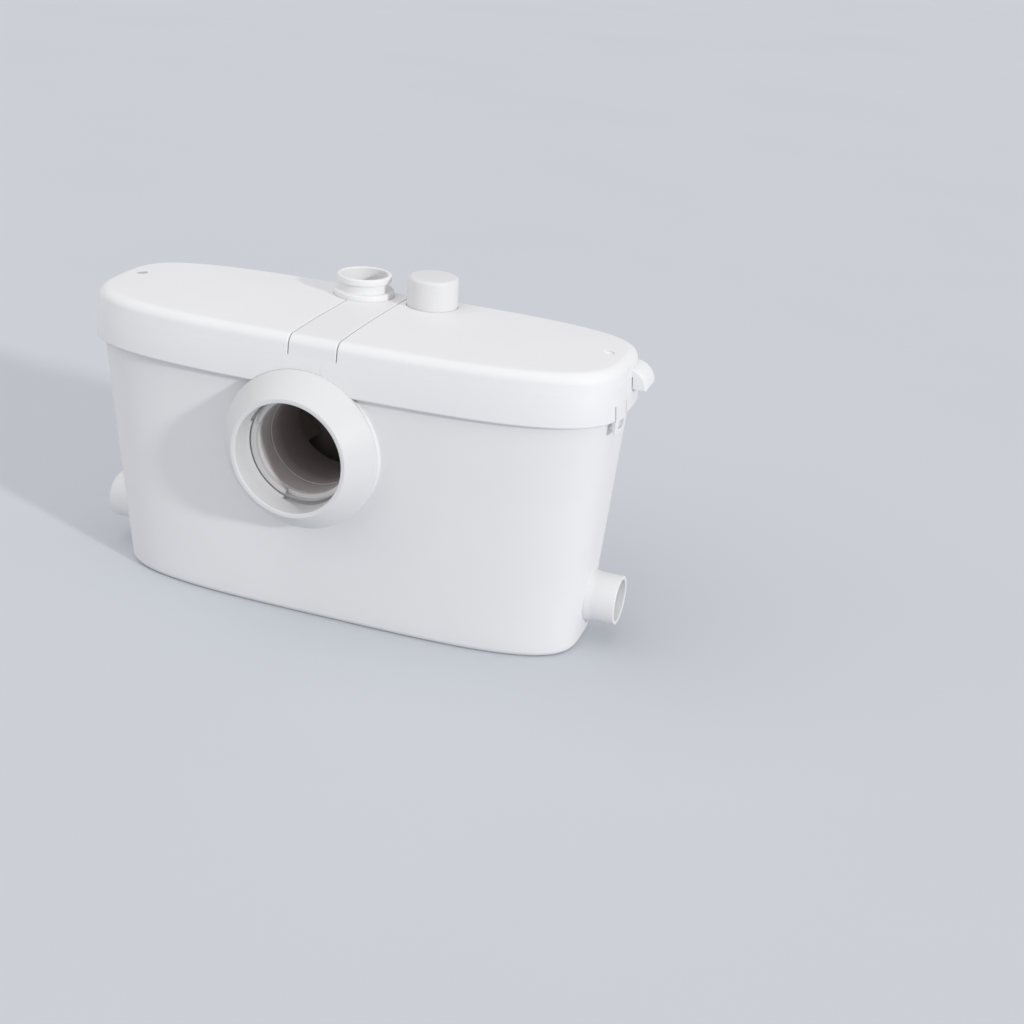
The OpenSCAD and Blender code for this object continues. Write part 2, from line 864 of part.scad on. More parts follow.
module discharge_neck() {
  plate_z = valve_z - valve_plate;
  lug_dy = valve_ear_w + gap;
  pin_x = neck_x - valve_pin_dx;
  pin_z = valve_z + valve_pin_dz;
  color("white")
    difference() {
      union() {
        difference() {
          translate([neck_x, neck_y, 0])
            rotate_extrude()
              polygon([[0, plate_z], [neck_low_r, plate_z], [neck_low_r, deck_top],
                [neck_flange_r, deck_top], [neck_flange_r, deck_top + neck_flange_t],
                [neck_r, deck_top + neck_flange_t],
                [neck_r, top_z - neck_groove_h / 2], [neck_ring_r, top_z - neck_groove_h / 2],
                [neck_ring_r, neck_top - neck_lip_h - neck_groove_h - nose],
                [neck_ring_r - nose, neck_top - neck_lip_h - neck_groove_h],
                [neck_groove_r, neck_top - neck_lip_h - neck_groove_h],
                [neck_groove_r, neck_top - neck_lip_h], [neck_r, neck_top - neck_lip_h],
                [neck_r, neck_top - nose], [neck_r - nose, neck_top], [0, neck_top]]);
          zcyl(neck_x, neck_y, neck_seat_z, neck_top + e, neck_bore_r);
          zcyl(neck_x, neck_y, valve_z, neck_seat_z + e, valve_chamber_r);
        }
        zcyl(neck_x, neck_y, plate_z - nozzle_h, plate_z + e, hose_in_r);
        for (k = [-1, 1])
          translate([pin_x, neck_y + k * (lug_dy + valve_lug_t / 2), 0])
            span([-valve_ear_r, -valve_lug_t / 2, valve_z - e],
              [valve_ear_r, valve_lug_t / 2, valve_z + valve_lug_h]);
      }
      zcyl(neck_x, neck_y, plate_z - nozzle_h - e, valve_z + e, nozzle_bore_r);
      ycyl(pin_x, neck_y - lug_dy - valve_lug_t, neck_y + lug_dy + valve_lug_t, pin_z, valve_pin_r);
    }
}

module discharge_flap() {
  pin_x = neck_x - valve_pin_dx;
  pin_z = valve_z + valve_pin_dz;
  color("black")
    difference() {
      union() {
        zcyl(neck_x, neck_y, valve_z, valve_z + valve_t, valve_r);
        span([pin_x, neck_y - valve_ear_w, pin_z - valve_ear_r],
          [neck_x, neck_y + valve_ear_w, valve_z + valve_t]);
        ycyl(pin_x, neck_y - valve_ear_w, neck_y + valve_ear_w, pin_z, valve_ear_r);
      }
      ycyl(pin_x, neck_y - 2 * valve_ear_w, neck_y + 2 * valve_ear_w, pin_z, valve_pin_r + running);
    }
}

module discharge_flap_pin() {
  w = valve_ear_w + gap + valve_lug_t;
  color("silver")
    ycyl(neck_x - valve_pin_dx, neck_y - w, neck_y + w, valve_z + valve_pin_dz, valve_pin_r);
}

module top_inlet_spigot() {
  color("white")
    difference() {
      union() {
        zcyl(cap_x, cap_y, deck_z - spigot_tail, cap_top - cap_top_t, spigot_r);
        zcyl(cap_x, cap_y, deck_top, deck_top + neck_flange_t, spigot_flange_r);
      }
      zcyl(cap_x, cap_y, deck_z - spigot_tail - e, cap_top, spigot_r - spigot_wall);
    }
}

module top_inlet_cap() {
  z0 = deck_top + neck_flange_t + cap_foot;
  color("white")
    translate([cap_x, cap_y, 0])
      rotate_extrude()
        polygon([[spigot_r + gap, z0], [cap_r, z0], [cap_r, cap_top - cap_edge],
          [cap_r - 0.3 * cap_edge, cap_top - 0.3 * cap_edge], [cap_r - cap_edge, cap_top], [0, cap_top],
          [0, cap_top - cap_top_t], [spigot_r + gap, cap_top - cap_top_t]]);
}

// hose path: along +Y from the volute, a bend to +X, a bend upward, then the riser
module hose_path(r, extra) {
  z0 = pump_z - nozzle_dz;
  x0 = nozzle_x + hose_bend;
  x1 = neck_x - riser_bend;
  y0 = neck_y - hose_bend;
  z1 = valve_z - valve_plate;
  ycyl(nozzle_x, hose_start - extra, y0, z0, r);
  translate([x0, y0, z0])
    rotate([0, 0, 90])
      rotate_extrude(angle = 90)
        translate([hose_bend, 0])
          circle(r);
  xcyl(x0, x1, neck_y, z0, r);
  translate([x1, neck_y, z0 + riser_bend])
    rotate([90, 0, 0])
      rotate([0, 0, -90])
        rotate_extrude(angle = 90)
          translate([riser_bend, 0])
            circle(r);
  zcyl(neck_x, neck_y, z0 + riser_bend, z1 + extra, r);
}

module discharge_hose() {
  color("dimgray")
    difference() {
      hose_path(hose_r, 0);
      hose_path(hose_in_r, e);
    }
}

module lower_hose_clamp() {
  z0 = pump_z - nozzle_dz;
  color("silver")
    difference() {
      ycyl(nozzle_x, hose_start + 1, hose_start + 1 + clamp_w, z0, hose_r + clamp_t);
      ycyl(nozzle_x, hose_start, hose_start + 2 + clamp_w, z0, hose_r);
    }
}

module upper_hose_clamp() {
  z1 = valve_z - valve_plate - clamp_w / 2;
  color("silver")
    difference() {
      zcyl(neck_x, neck_y, z1 - clamp_w, z1, hose_r + clamp_t);
      zcyl(neck_x, neck_y, z1 - clamp_w - e, z1 + e, hose_r);
    }
}

module grinder_basket() {
  x0 = basket_x0;
  x1 = basket_x1;
  ro = basket_r + basket_t;
  slots = floor((x1 - x0 - 2 * slot_pitch) / slot_pitch);
  color("gray")
    difference() {
      union() {
        pump_cyl(x0, x1, ro);
        span([x0, pump_y - ro, pump_z], [x1, pump_y + ro, basket_top]);
      }
      pump_cyl(x0 + basket_t, x1 - basket_t, basket_r);
      span([x0 + basket_t, pump_y - basket_r, pump_z], [x1 - basket_t, pump_y + basket_r, basket_top + ro]);
      span([x0 - e, pump_y - 2 * ro, basket_top], [x1 + e, pump_y + 2 * ro, basket_top + ro]);
      pump_cyl(x0 - e, x0 + basket_t + e, eye_r);
      for (i = [0 : slots])
        ycyl(x0 + slot_pitch * (i + 1), pump_y - 2 * ro, pump_y + 2 * ro, pump_z + 2 * slot_r, slot_r);
      for (i = [0 : slots])
        ycyl(x0 + slot_pitch * (i + 1), pump_y - 2 * ro, pump_y + 2 * ro, pump_z + 6 * slot_r, slot_r);
      for (i = [0 : slots])
        zcyl(x0 + slot_pitch * (i + 1), pump_y + 5 * slot_r, 0, pump_z, slot_r);
      for (i = [0 : slots])
        zcyl(x0 + slot_pitch * (i + 1), pump_y - 5 * slot_r, 0, pump_z, slot_r);
    }
}

module volute_housing() {
  z0 = pump_z - nozzle_dz;
  color("darkslategray")
    difference() {
      union() {
        pump_cyl(motor_x1, volute_x1, motor_r);
        ycyl(nozzle_x, pump_y, nozzle_end, z0, hose_in_r);
      }
      pump_cyl(motor_x1 + volute_back, volute_x1 + e, volute_in_r);
      pump_cyl(motor_x1 - e, volute_x1, seal_r);
      ycyl(nozzle_x, pump_y, nozzle_end + e, z0, nozzle_bore_r);
    }
}

module suction_plate() {
  color("dimgray")
    pump_tube(volute_x1, volute_x1 + eye_plate_t, eye_r, motor_r);
}

module impeller() {
  color("darkkhaki")
    difference() {
      union() {
        pump_cyl(impeller_x, impeller_x + impeller_t, impeller_r);
        pump_cyl(impeller_x, impeller_x + impeller_t + vane_h, seal_r);
        for (i = [0 : vane_n - 1])
          translate([0, pump_y, pump_z])
            rotate([360 * i / vane_n, 0, 0])
              span([impeller_x, seal_r - 2, -vane_t / 2],
                [impeller_x + impeller_t + vane_h, impeller_r - 1, vane_t / 2]);
      }
      pump_cyl(impeller_x - e, impeller_x + impeller_t + vane_h + e, shaft_r);
    }
}

module blade(x, a) {
  translate([0, pump_y, pump_z])
    rotate([a, 0, 0]) {
      span([x, -blade_w / 2, -blade_r], [x + blade_t, blade_w / 2, blade_r]);
      for (k = [-1, 1])
        span([x, -blade_w / 2, k > 0 ? blade_r - blade_t : -blade_r],
          [x + blade_tip, blade_w / 2, k > 0 ? blade_r : blade_t - blade_r]);
    }
}

module cutter_blades() {
  color("silver")
    difference() {
      union() {
        pump_cyl(blade_x - blade_step / 2, blade_x - blade_step / 2 + hub_len, cutter_hub_r);
        blade(blade_x, 0);
        blade(blade_x + blade_step, 90);
      }
      pump_cyl(blade_x - hub_len, blade_x + 2 * hub_len, shaft_r);
    }
}

module blade_nut() {
  x = blade_x - blade_step / 2 + hub_len;
  color("silver")
    difference() {
      translate([x, pump_y, pump_z])
        rotate([0, 90, 0])
          cylinder(h = nut_len, r = nut_r, $fn = 6);
      pump_cyl(x - e, x + nut_len + e, shaft_r);
    }
}

module motor_shaft() {
  color("silver")
    pump_cyl(shaft_x0, shaft_x1, shaft_r);
}

module motor_housing() {
  color("dimgray")
    difference() {
      pump_cyl(motor_x0, motor_x1, motor_r);
      pump_cyl(motor_x0 - e, motor_x1 - motor_wall_t, motor_r - motor_t);
      pump_cyl(motor_x0, motor_x1 + e, bearing_r);
    }
}

module motor_end_cap() {
  color("dimgray")
    difference() {
      union() {
        pump_cyl(motor_x0 - end_cap_t, motor_x0, motor_r);
        pump_cyl(motor_x0 - e, motor_x0 + bearing_w + 2, bearing_boss_r);
      }
      pump_cyl(motor_x0, motor_x0 + bearing_w + 2 + e, bearing_r);
    }
}

module stator() {
  color("peru")
    pump_tube(stator_x0, stator_x0 + stator_l, rotor_r + air_gap, motor_r - motor_t);
}

module rotor_core() {
  color("gray")
    pump_tube(stator_x0, stator_x0 + stator_l, shaft_r, rotor_r);
}

module front_bearing() {
  color("silver")
    pump_tube(motor_x1 - motor_wall_t, motor_x1, shaft_r + running, bearing_r);
}

module rear_bearing() {
  color("silver")
    pump_tube(motor_x0 + 2, motor_x0 + 2 + bearing_w, shaft_r + running, bearing_r);
}

module shaft_seal() {
  color("black")
    pump_tube(motor_x1, motor_x1 + volute_back, shaft_r + running, seal_r);
}

module saddle(x, r) {
  difference() {
    span([x, pump_y - cradle_half, wall], [x + cradle_w, pump_y + cradle_half, cradle_top]);
    pump_cyl(x - e, x + cradle_w + e, r);
  }
}

module pump_cradle() {
  ro = basket_r + basket_t;
  color("gray")
    union() {
      saddle(motor_x0 + cradle_w, motor_r);
      saddle(motor_x1 - 2 * cradle_w, motor_r);
      saddle(basket_x0 + cradle_w, ro);
      saddle(basket_x1 - 2 * cradle_w, ro);
      span([motor_x0 + cradle_w, pump_y - rail_half, wall],
        [basket_x1 - cradle_w, pump_y + rail_half, wall + rail_h]);
    }
}

module level_module() {
  fz = tub_floor_top;
  lx = module_x + long_dx;
  sx = module_x + short_dx;
  cup_z = fz + flange_t;
  color("gainsboro")
    difference() {
      union() {
        zcyl(module_x, module_y, fz, cup_z, flange_r);
        zcyl(module_x, module_y, cup_z - e, cup_z + cup_h, cup_r);
        for (k = [-1, 1])
          zcyl(module_x + k * post_dx, module_y, cup_z - e, cup_z + post_h, post_r);
        for (k = [-1, 1])
          zcyl(module_x + k * post_dx, module_y, cup_z + post_h - knob_h, cup_z + post_h, knob_r);
        zcyl(module_x, module_y, fz - collar_h, fz + e, collar_r);
        zcyl(lx, module_y, bell_rim_z, fz - collar_h + e, tube_r);
        zcyl(sx, module_y, short_end_z, fz - collar_h + e, tube_r);
        translate([lx, module_y, bell_rim_z + bell_rim_h])
          cylinder(h = bell_cone_h, r1 = bell_r, r2 = tube_r);
        zcyl(lx, module_y, bell_rim_z, bell_rim_z + bell_rim_h, bell_r);
        zcyl(lx, module_y, bell_rim_z - foot_h, bell_rim_z + e, foot_r);
      }
      zcyl(module_x, module_y, cup_z + ledge_h, cup_z + cup_h + e, cup_r - cup_wall);
      zcyl(module_x, module_y, fz - collar_h / 2, cup_z + ledge_h + e, cup_r - cup_wall - ledge_w);
      zcyl(lx, module_y, bell_rim_z, fz, tube_r - tube_wall);
      translate([lx, module_y, bell_rim_z + bell_rim_h - e])
        cylinder(h = bell_cone_h, r1 = bell_r - tube_wall, r2 = tube_r - tube_wall);
      zcyl(lx, module_y, bell_rim_z - foot_h - e, bell_rim_z + bell_rim_h, foot_r - foot_seal_w);
      translate([module_x, module_y, fz - collar_h / 2])
        rotate_extrude()
          translate([collar_r, 0])
            square([2 * ring_cord, 2 * ring_cord], center = true);
    }
}

module module_o_ring() {
  color("black")
    translate([module_x, module_y, tub_floor_top - collar_h / 2])
      difference() {
        cylinder(h = 2 * ring_cord, r = port_r, center = true);
        cylinder(h = 4 * ring_cord, r = collar_r - ring_cord, center = true);
      }
}

module bell_seal() {
  x = module_x + long_dx;
  z1 = bell_rim_z - foot_h;
  color("black")
    difference() {
      zcyl(x, module_y, z1 - foot_seal_h, z1, foot_r);
      zcyl(x, module_y, z1 - foot_seal_h - e, z1 + e, foot_r - foot_seal_w);
    }
}

module membrane() {
  z0 = tub_floor_top + flange_t + ledge_h;
  z1 = tub_floor_top + flange_t + cup_h + cup_lid_t;
  color("black")
    union() {
      zcyl(module_x, module_y, z0, z0 + membrane_t, cup_r - cup_wall - gap);
      zcyl(module_x, module_y, z0, z0 + membrane_boss_h, membrane_boss_r);
      zcyl(module_x, module_y, z0, z1 + plunger_rise, plunger_r);
    }
}

module membrane_cover() {
  z0 = tub_floor_top + flange_t + cup_h;
  color("gainsboro")
    difference() {
      zcyl(module_x, module_y, z0, z0 + cup_lid_t, cup_r);
      zcyl(module_x, module_y, z0 - e, z0 + cup_lid_t + e, cup_hole_r);
    }
}

module microswitch() {
  z0 = tub_floor_top + flange_t + cup_h + cup_lid_t;
  x0 = module_x + cup_hole_r + switch_dx / 2;
  z1 = z0 + plunger_rise + lever_gap;
  color("dimgray")
    union() {
      span([x0, module_y - switch_w / 2, z0],
        [x0 + switch_l - switch_dx, module_y + switch_w / 2, z0 + switch_h]);
      span([module_x - plunger_r, module_y - lever_w / 2, z1],
        [x0 + e, module_y + lever_w / 2, z1 + lever_t]);
    }
}

module well_frame() {
  difference() {
    color("gainsboro")
      well_plan(deck_top, deck_top + frame_t, well_r + frame_rim);
    difference() {
      well_plan(deck_top - e, deck_top + frame_t + e, well_r - frame_in);
      span([well_x - frame_rib / 2, well_y - well_r, deck_top - wall],
        [well_x + frame_rib / 2, well_y + well_r, deck_top + wall]);
    }
    for (i = [-1, 1])
      for (k = [-1, 1])
        zcyl(well_x + i * well_half, well_screw_y(k), deck_z, lid_z, well_screw_r);
  }
}

module well_window() {
  color("darkslategray")
    well_plan(deck_top - window_t, deck_top, well_r - gap);
}

module well_screws() {
  color("silver")
    for (i = [-1, 1])
      for (k = [-1, 1])
        translate([well_x + i * well_half, well_screw_y(k), 0]) {
          zcyl(0, 0, deck_z + e, deck_top + frame_t + e, well_screw_r);
          zcyl(0, 0, deck_top + frame_t, deck_top + frame_t + well_screw_head_h, well_screw_head_r);
        }
}

module capacitor() {
  color("lightgray")
    zcyl(well_x + cap_can_dx, well_y, well_floor_z, well_floor_z + cap_can_h, cap_can_r);
}

module terminal_block() {
  x = well_x + block_dx;
  color("ivory")
    difference() {
      span([x - block_l / 2 + plug_h, well_y - block_w, well_floor_z],
        [x + block_l / 2 + plug_h, well_y, well_floor_z + block_h]);
      for (i = [-1, 0, 1])
        zcyl(x + plug_h + i * plug_r, well_y - block_w / 2, well_floor_z + block_h / 2,
          well_floor_z + 2 * block_h, 2 * well_screw_r);
    }
}

module cable_plugs() {
  color("black")
    for (k = [-1, 1])
      translate([well_x + plug_dx, well_y + k * plug_dy, 0]) {
        zcyl(0, 0, well_floor_z, well_floor_z + plug_h, plug_r);
        zcyl(0, 0, well_floor_z - plug_tail, well_floor_z + e, plug_shank_r);
      }
}

module cable_gland() {
  color("black")
    difference() {
      union() {
        ycyl(gland_x, gland_y - gland_in, gland_y + e, gland_z, gland_r);
        ycyl(gland_x, gland_y, gland_y + gland_out, gland_z, gland_nut_r);
      }
      ycyl(gland_x, gland_y - gland_in - e, gland_y + gland_out + e, gland_z, gland_bore_r);
    }
}

tank();
top_casing();
casing_seal();
left_lid();
right_lid();
left_lid_screw();
right_lid_screw();
inlet_collar();
collar_seal();
inlet_inner_ring();
inlet_chute();
left_check_valve();
right_check_valve();
left_flap();
right_flap();
left_flap_pin();
right_flap_pin();
discharge_neck();
discharge_flap();
discharge_flap_pin();
top_inlet_spigot();
top_inlet_cap();
discharge_hose();
lower_hose_clamp();
upper_hose_clamp();
grinder_basket();
volute_housing();
suction_plate();
impeller();
cutter_blades();
blade_nut();
motor_shaft();
motor_housing();
motor_end_cap();
stator();
rotor_core();
front_bearing();
rear_bearing();
shaft_seal();
pump_cradle();
level_module();
module_o_ring();
bell_seal();
membrane();
membrane_cover();
microswitch();
well_frame();
well_window();
well_screws();
capacitor();
terminal_block();
cable_plugs();
cable_gland();
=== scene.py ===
import bmesh
import bpy
import numpy as np
from mathutils import Matrix, Vector


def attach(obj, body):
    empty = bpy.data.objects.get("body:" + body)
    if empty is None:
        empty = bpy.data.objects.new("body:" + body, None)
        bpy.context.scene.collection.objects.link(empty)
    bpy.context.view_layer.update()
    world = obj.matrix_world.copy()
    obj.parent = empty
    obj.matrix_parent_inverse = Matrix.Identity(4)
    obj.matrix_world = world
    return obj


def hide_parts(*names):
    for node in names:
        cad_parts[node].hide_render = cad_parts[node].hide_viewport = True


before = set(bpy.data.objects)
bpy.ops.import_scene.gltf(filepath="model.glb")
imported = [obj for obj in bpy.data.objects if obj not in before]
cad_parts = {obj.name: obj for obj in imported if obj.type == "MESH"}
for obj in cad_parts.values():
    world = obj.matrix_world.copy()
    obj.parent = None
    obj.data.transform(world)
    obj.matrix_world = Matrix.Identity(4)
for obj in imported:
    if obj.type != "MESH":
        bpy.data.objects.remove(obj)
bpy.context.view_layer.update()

mm = 0.001  # shapes are worked out in millimetres and put into the meshes in metres
ductMouth, ductEnd = 90.8, 14  # the duct lining's two ends, in front of the middle of the case


# Finishes: every one is a node material on Object coordinates

def newFinish(name):
    finish = bpy.data.materials.new(name)
    finish.use_nodes = True
    tree = finish.node_tree
    return finish, tree, tree.nodes["Principled BSDF"]


def addNode(tree, kind, **values):
    node = tree.nodes.new(kind)
    for key, value in values.items():
        if key in node.inputs:
            node.inputs[key].default_value = value
        else:
            setattr(node, key, value)
    return node


def noiseField(tree, scale, detail=3.0, stretch=(1, 1, 1)):
    # noise on Object coordinates, scale in cells per metre
    place = addNode(tree, "ShaderNodeTexCoord")
    spread = addNode(tree, "ShaderNodeMapping")
    spread.inputs["Scale"].default_value = stretch
    field = addNode(tree, "ShaderNodeTexNoise", Scale=scale, Detail=detail)
    tree.links.new(place.outputs["Object"], spread.inputs["Vector"])
    tree.links.new(spread.outputs["Vector"], field.inputs["Vector"])
    return field.outputs["Fac"]


def rampBetween(tree, source, stops):
    ramp = addNode(tree, "ShaderNodeValToRGB")
    ramp.color_ramp.elements[0].position = stops[0][0]
    ramp.color_ramp.elements[1].position = stops[-1][0]
    for place, colour in stops[1:-1]:
        ramp.color_ramp.elements.new(place)
    for element, (place, colour) in zip(ramp.color_ramp.elements, stops):
        element.color = (*colour, 1)
    tree.links.new(source, ramp.inputs["Fac"])
    return ramp.outputs["Color"]


def roughSpan(tree, source, low, high):
    span = addNode(tree, "ShaderNodeMapRange")
    span.inputs["To Min"].default_value = low
    span.inputs["To Max"].default_value = high
    tree.links.new(source, span.inputs["Value"])
    return span.outputs["Result"]


def bumpFrom(tree, source, strength, distance):
    bump = addNode(tree, "ShaderNodeBump", Strength=strength, Distance=distance)
    tree.links.new(source, bump.inputs["Height"])
    return bump.outputs["Normal"]


def satinSkin(tree, shader, rough, grain, specular):
    # cloudy roughness and spark-eroded grain, which all mouldings share
    tree.links.new(roughSpan(tree, noiseField(tree, scale=60, detail=5), *rough), shader.inputs["Roughness"])
    fine = noiseField(tree, scale=1400, detail=2)
    tree.links.new(bumpFrom(tree, fine, strength=grain, distance=0.0002), shader.inputs["Normal"])
    shader.inputs["Specular IOR Level"].default_value = specular


def mouldedPlastic(name, tone, dirt, rough=(0.4, 0.52), grain=0.06, specular=0.4):
    # satin moulding with slow flow clouds in its colour
    finish, tree, shader = newFinish(name)
    colour = rampBetween(tree, noiseField(tree, scale=14, detail=4), [(0.3, dirt), (0.7, tone)])
    tree.links.new(colour, shader.inputs["Base Color"])
    satinSkin(tree, shader, rough, grain, specular)
    return finish


def depthShadedDuct(name, mouthTone, halfShade, deepShade):
    # moulding whose colour darkens with depth, painted shade deeper in the duct: the share runs from 0 at the
    # mouth of the lining to 1 at its end
    finish, tree, shader = newFinish(name)
    place = addNode(tree, "ShaderNodeTexCoord")
    split = addNode(tree, "ShaderNodeSeparateXYZ")
    tree.links.new(place.outputs["Object"], split.inputs["Vector"])
    depth = addNode(tree, "ShaderNodeMapRange")
    depth.inputs["From Min"].default_value = -ductMouth * mm
    depth.inputs["From Max"].default_value = -ductEnd * mm
    tree.links.new(split.outputs["Y"], depth.inputs["Value"])
    cloud = addNode(tree, "ShaderNodeMath", operation="MULTIPLY_ADD")  # clouds shift the share by a tenth
    cloud.inputs[1].default_value, cloud.inputs[2].default_value = 0.2, -0.1
    tree.links.new(noiseField(tree, scale=40, detail=4), cloud.inputs[0])
    share = addNode(tree, "ShaderNodeMath", operation="ADD")
    tree.links.new(depth.outputs["Result"], share.inputs[0])
    tree.links.new(cloud.outputs["Value"], share.inputs[1])
    # painted shade: the mouth colour falls to two darker stops as the share grows with depth
    colour = rampBetween(tree, share.outputs["Value"], [(0.0, mouthTone), (0.22, halfShade), (0.48, deepShade)])
    tree.links.new(colour, shader.inputs["Base Color"])
    satinSkin(tree, shader, rough=(0.45, 0.62), grain=0.06, specular=0.3)
    return finish


def softRubber(name, tone, bloom):
    # black rubber with a dusty bloom and a matt, slightly pitted skin
    finish, tree, shader = newFinish(name)
    colour = rampBetween(tree, noiseField(tree, scale=90, detail=6), [(0.35, tone), (0.75, bloom)])
    tree.links.new(colour, shader.inputs["Base Color"])
    tree.links.new(roughSpan(tree, noiseField(tree, scale=240), 0.55, 0.8), shader.inputs["Roughness"])
    pits = noiseField(tree, scale=2200, detail=2)
    tree.links.new(bumpFrom(tree, pits, strength=0.15, distance=0.0002), shader.inputs["Normal"])
    return finish


def workedMetal(name, tone, shade, rough=(0.22, 0.42), stretch=(1, 1, 1), scale=700, metallic=1.0):
    # metal with fine tool lines along the short direction of the stretch
    finish, tree, shader = newFinish(name)
    lines = noiseField(tree, scale, 4, stretch)
    tree.links.new(rampBetween(tree, lines, [(0.3, shade), (0.7, tone)]), shader.inputs["Base Color"])
    tree.links.new(roughSpan(tree, lines, *rough), shader.inputs["Roughness"])
    tree.links.new(bumpFrom(tree, lines, strength=0.08, distance=0.0001), shader.inputs["Normal"])
    shader.inputs["Metallic"].default_value = metallic
    return finish


def corePlates(name, tone, shade):
    # stacked core plates: fine bands along the motor axis
    finish, tree, shader = newFinish(name)
    place = addNode(tree, "ShaderNodeTexCoord")
    bands = addNode(tree, "ShaderNodeTexWave", wave_type="BANDS", bands_direction="X",
                    Scale=260, Distortion=0.4)
    tree.links.new(place.outputs["Object"], bands.inputs["Vector"])
    colour = rampBetween(tree, bands.outputs["Fac"], [(0.2, shade), (0.8, tone)])
    tree.links.new(colour, shader.inputs["Base Color"])
    edges = bumpFrom(tree, bands.outputs["Fac"], strength=0.3, distance=0.0002)
    tree.links.new(edges, shader.inputs["Normal"])
    shader.inputs["Metallic"].default_value = 0.6
    shader.inputs["Roughness"].default_value = 0.45
    return finish


finishes = {
    "caseWhite": mouldedPlastic("case_white", (0.80, 0.80, 0.805), (0.785, 0.785, 0.79)),
    "lidWhite": mouldedPlastic("lid_white", (0.82, 0.82, 0.825), (0.805, 0.805, 0.81),
                               rough=(0.44, 0.56), specular=0.3),
    # the collar is a darker copy of the case white: painted shade that holds down the strong light on its
    # cone
    "collarShadedWhite": mouldedPlastic("collar_shaded_white", (0.71, 0.71, 0.713), (0.695, 0.695, 0.698),
                                  rough=(0.42, 0.52), grain=0.03, specular=0.25),
    # the cap is a darker copy of the case white: painted shade that holds down the light on its side
    "capShadedWhite": mouldedPlastic("cap_shaded_white", (0.735, 0.735, 0.74), (0.72, 0.72, 0.725)),
    "paleGrey": mouldedPlastic("pale_grey", (0.62, 0.62, 0.61), (0.57, 0.57, 0.56), rough=(0.38, 0.52)),
    "ringGrey": mouldedPlastic("ring_grey", (0.60, 0.59, 0.595), (0.57, 0.56, 0.565)),
    "portGrey": mouldedPlastic("port_grey", (0.80, 0.785, 0.785), (0.77, 0.755, 0.755)),
    # duct lining: its two darker stops are painted shade deeper in the duct
    "ductGrey": depthShadedDuct("duct_grey", (0.60, 0.555, 0.54), (0.56, 0.515, 0.50), (0.34, 0.30, 0.285)),
    "deepBrown": mouldedPlastic("deep_brown", (0.38, 0.335, 0.31), (0.32, 0.28, 0.26),
                                rough=(0.5, 0.65), specular=0.2),
    # grey copy of the lid moulding for the left plug: painted shade in its recess
    "plugShadeGrey": mouldedPlastic("plug_shade_grey", (0.48, 0.48, 0.485), (0.43, 0.43, 0.435), rough=(0.35, 0.5)),
    "darkGrey": mouldedPlastic("dark_grey", (0.085, 0.085, 0.09), (0.06, 0.06, 0.064), rough=(0.4, 0.58)),
    "nylon": mouldedPlastic("filled_nylon", (0.42, 0.38, 0.28), (0.36, 0.32, 0.23),
                            rough=(0.45, 0.6), grain=0.12),
    "smoked": mouldedPlastic("smoked_clear", (0.04, 0.04, 0.044), (0.026, 0.026, 0.03),
                             rough=(0.06, 0.14), grain=0.02),
    "rubber": softRubber("black_rubber", (0.018, 0.018, 0.019), (0.045, 0.045, 0.047)),
    "steel": workedMetal("stainless", (0.63, 0.63, 0.64), (0.47, 0.47, 0.48), stretch=(1, 1, 0.08)),
    "can": workedMetal("drawn_can", (0.74, 0.74, 0.75), (0.62, 0.62, 0.63), stretch=(1, 1, 0.05), scale=400),
    "motorPaint": workedMetal("motor_paint", (0.15, 0.16, 0.18), (0.11, 0.12, 0.135),
                              rough=(0.4, 0.55), metallic=0.0),
    "corePlates": corePlates("core_plates", (0.45, 0.28, 0.17), (0.26, 0.17, 0.12)),
}
print("finishes:", len(finishes))


# Surfaces: grids of points, closed shells, and the pieces made of them

weld = {"doubles": 2e-6, "sliver": 1e-7, "cutSliver": 1e-6}  # metres


def gridQuads(rows, cols, loopRows=False, loopCols=False):
    # quads between neighbouring points of a grid, joined end to end where a direction is a loop
    r = np.arange(rows if loopRows else rows - 1)[:, None]
    c = np.arange(cols if loopCols else cols - 1)[None, :]
    rNext, cNext = (r + 1) % rows, (c + 1) % cols
    corners = [r * cols + c, r * cols + cNext, rNext * cols + cNext, rNext * cols + c]
    return np.stack(corners, -1).reshape(-1, 4)


def shellOf(grid, loopRows=False, loopCols=False, capFirst=False, capLast=False):
    rows, cols = grid.shape[:2]
    caps = [np.arange(cols)] if capFirst else []
    caps += [np.arange((rows - 1) * cols, rows * cols)] if capLast else []
    return grid.reshape(-1, 3), gridQuads(rows, cols, loopRows, loopCols), caps


def tubeOf(rings):
    # rings of points joined one after another and capped at both ends
    return shellOf(rings, loopCols=True, capFirst=True, capLast=True)


def thickSheet(outer, inner, lastRow=True):
    # two grids of one layout joined round their edges; lastRow False leaves a folded middle row open
    rows, cols = outer.shape[:2]
    index = np.arange(rows * cols).reshape(rows, cols)
    back = index + rows * cols
    edges = [(index[0], back[0]), (index[:, 0], back[:, 0]), (index[:, -1], back[:, -1])]
    edges += [(index[-1], back[-1])] if lastRow else []
    rims = [np.stack([a[:-1], a[1:], b[1:], b[:-1]], -1) for a, b in edges]
    quads = gridQuads(rows, cols)
    points = np.concatenate([outer.reshape(-1, 3), inner.reshape(-1, 3)])
    return points, np.concatenate([quads, quads + rows * cols] + rims), []


def turnOutwards(work):
    bmesh.ops.recalc_face_normals(work, faces=work.faces)


def splitPolygons(work):
    many = [face for face in work.faces if len(face.verts) > 4]
    bmesh.ops.triangulate(work, faces=many, ngon_method="EAR_CLIP")


def cleanMesh(mesh, sliver, lastStep):
    # merges doubles, drops slivers and runs one last step on the faces
    work = bmesh.new()
    work.from_mesh(mesh)
    bmesh.ops.remove_doubles(work, verts=work.verts, dist=weld["doubles"])
    bmesh.ops.dissolve_degenerate(work, dist=sliver, edges=work.edges)
    lastStep(work)
    work.to_mesh(mesh)
    work.free()


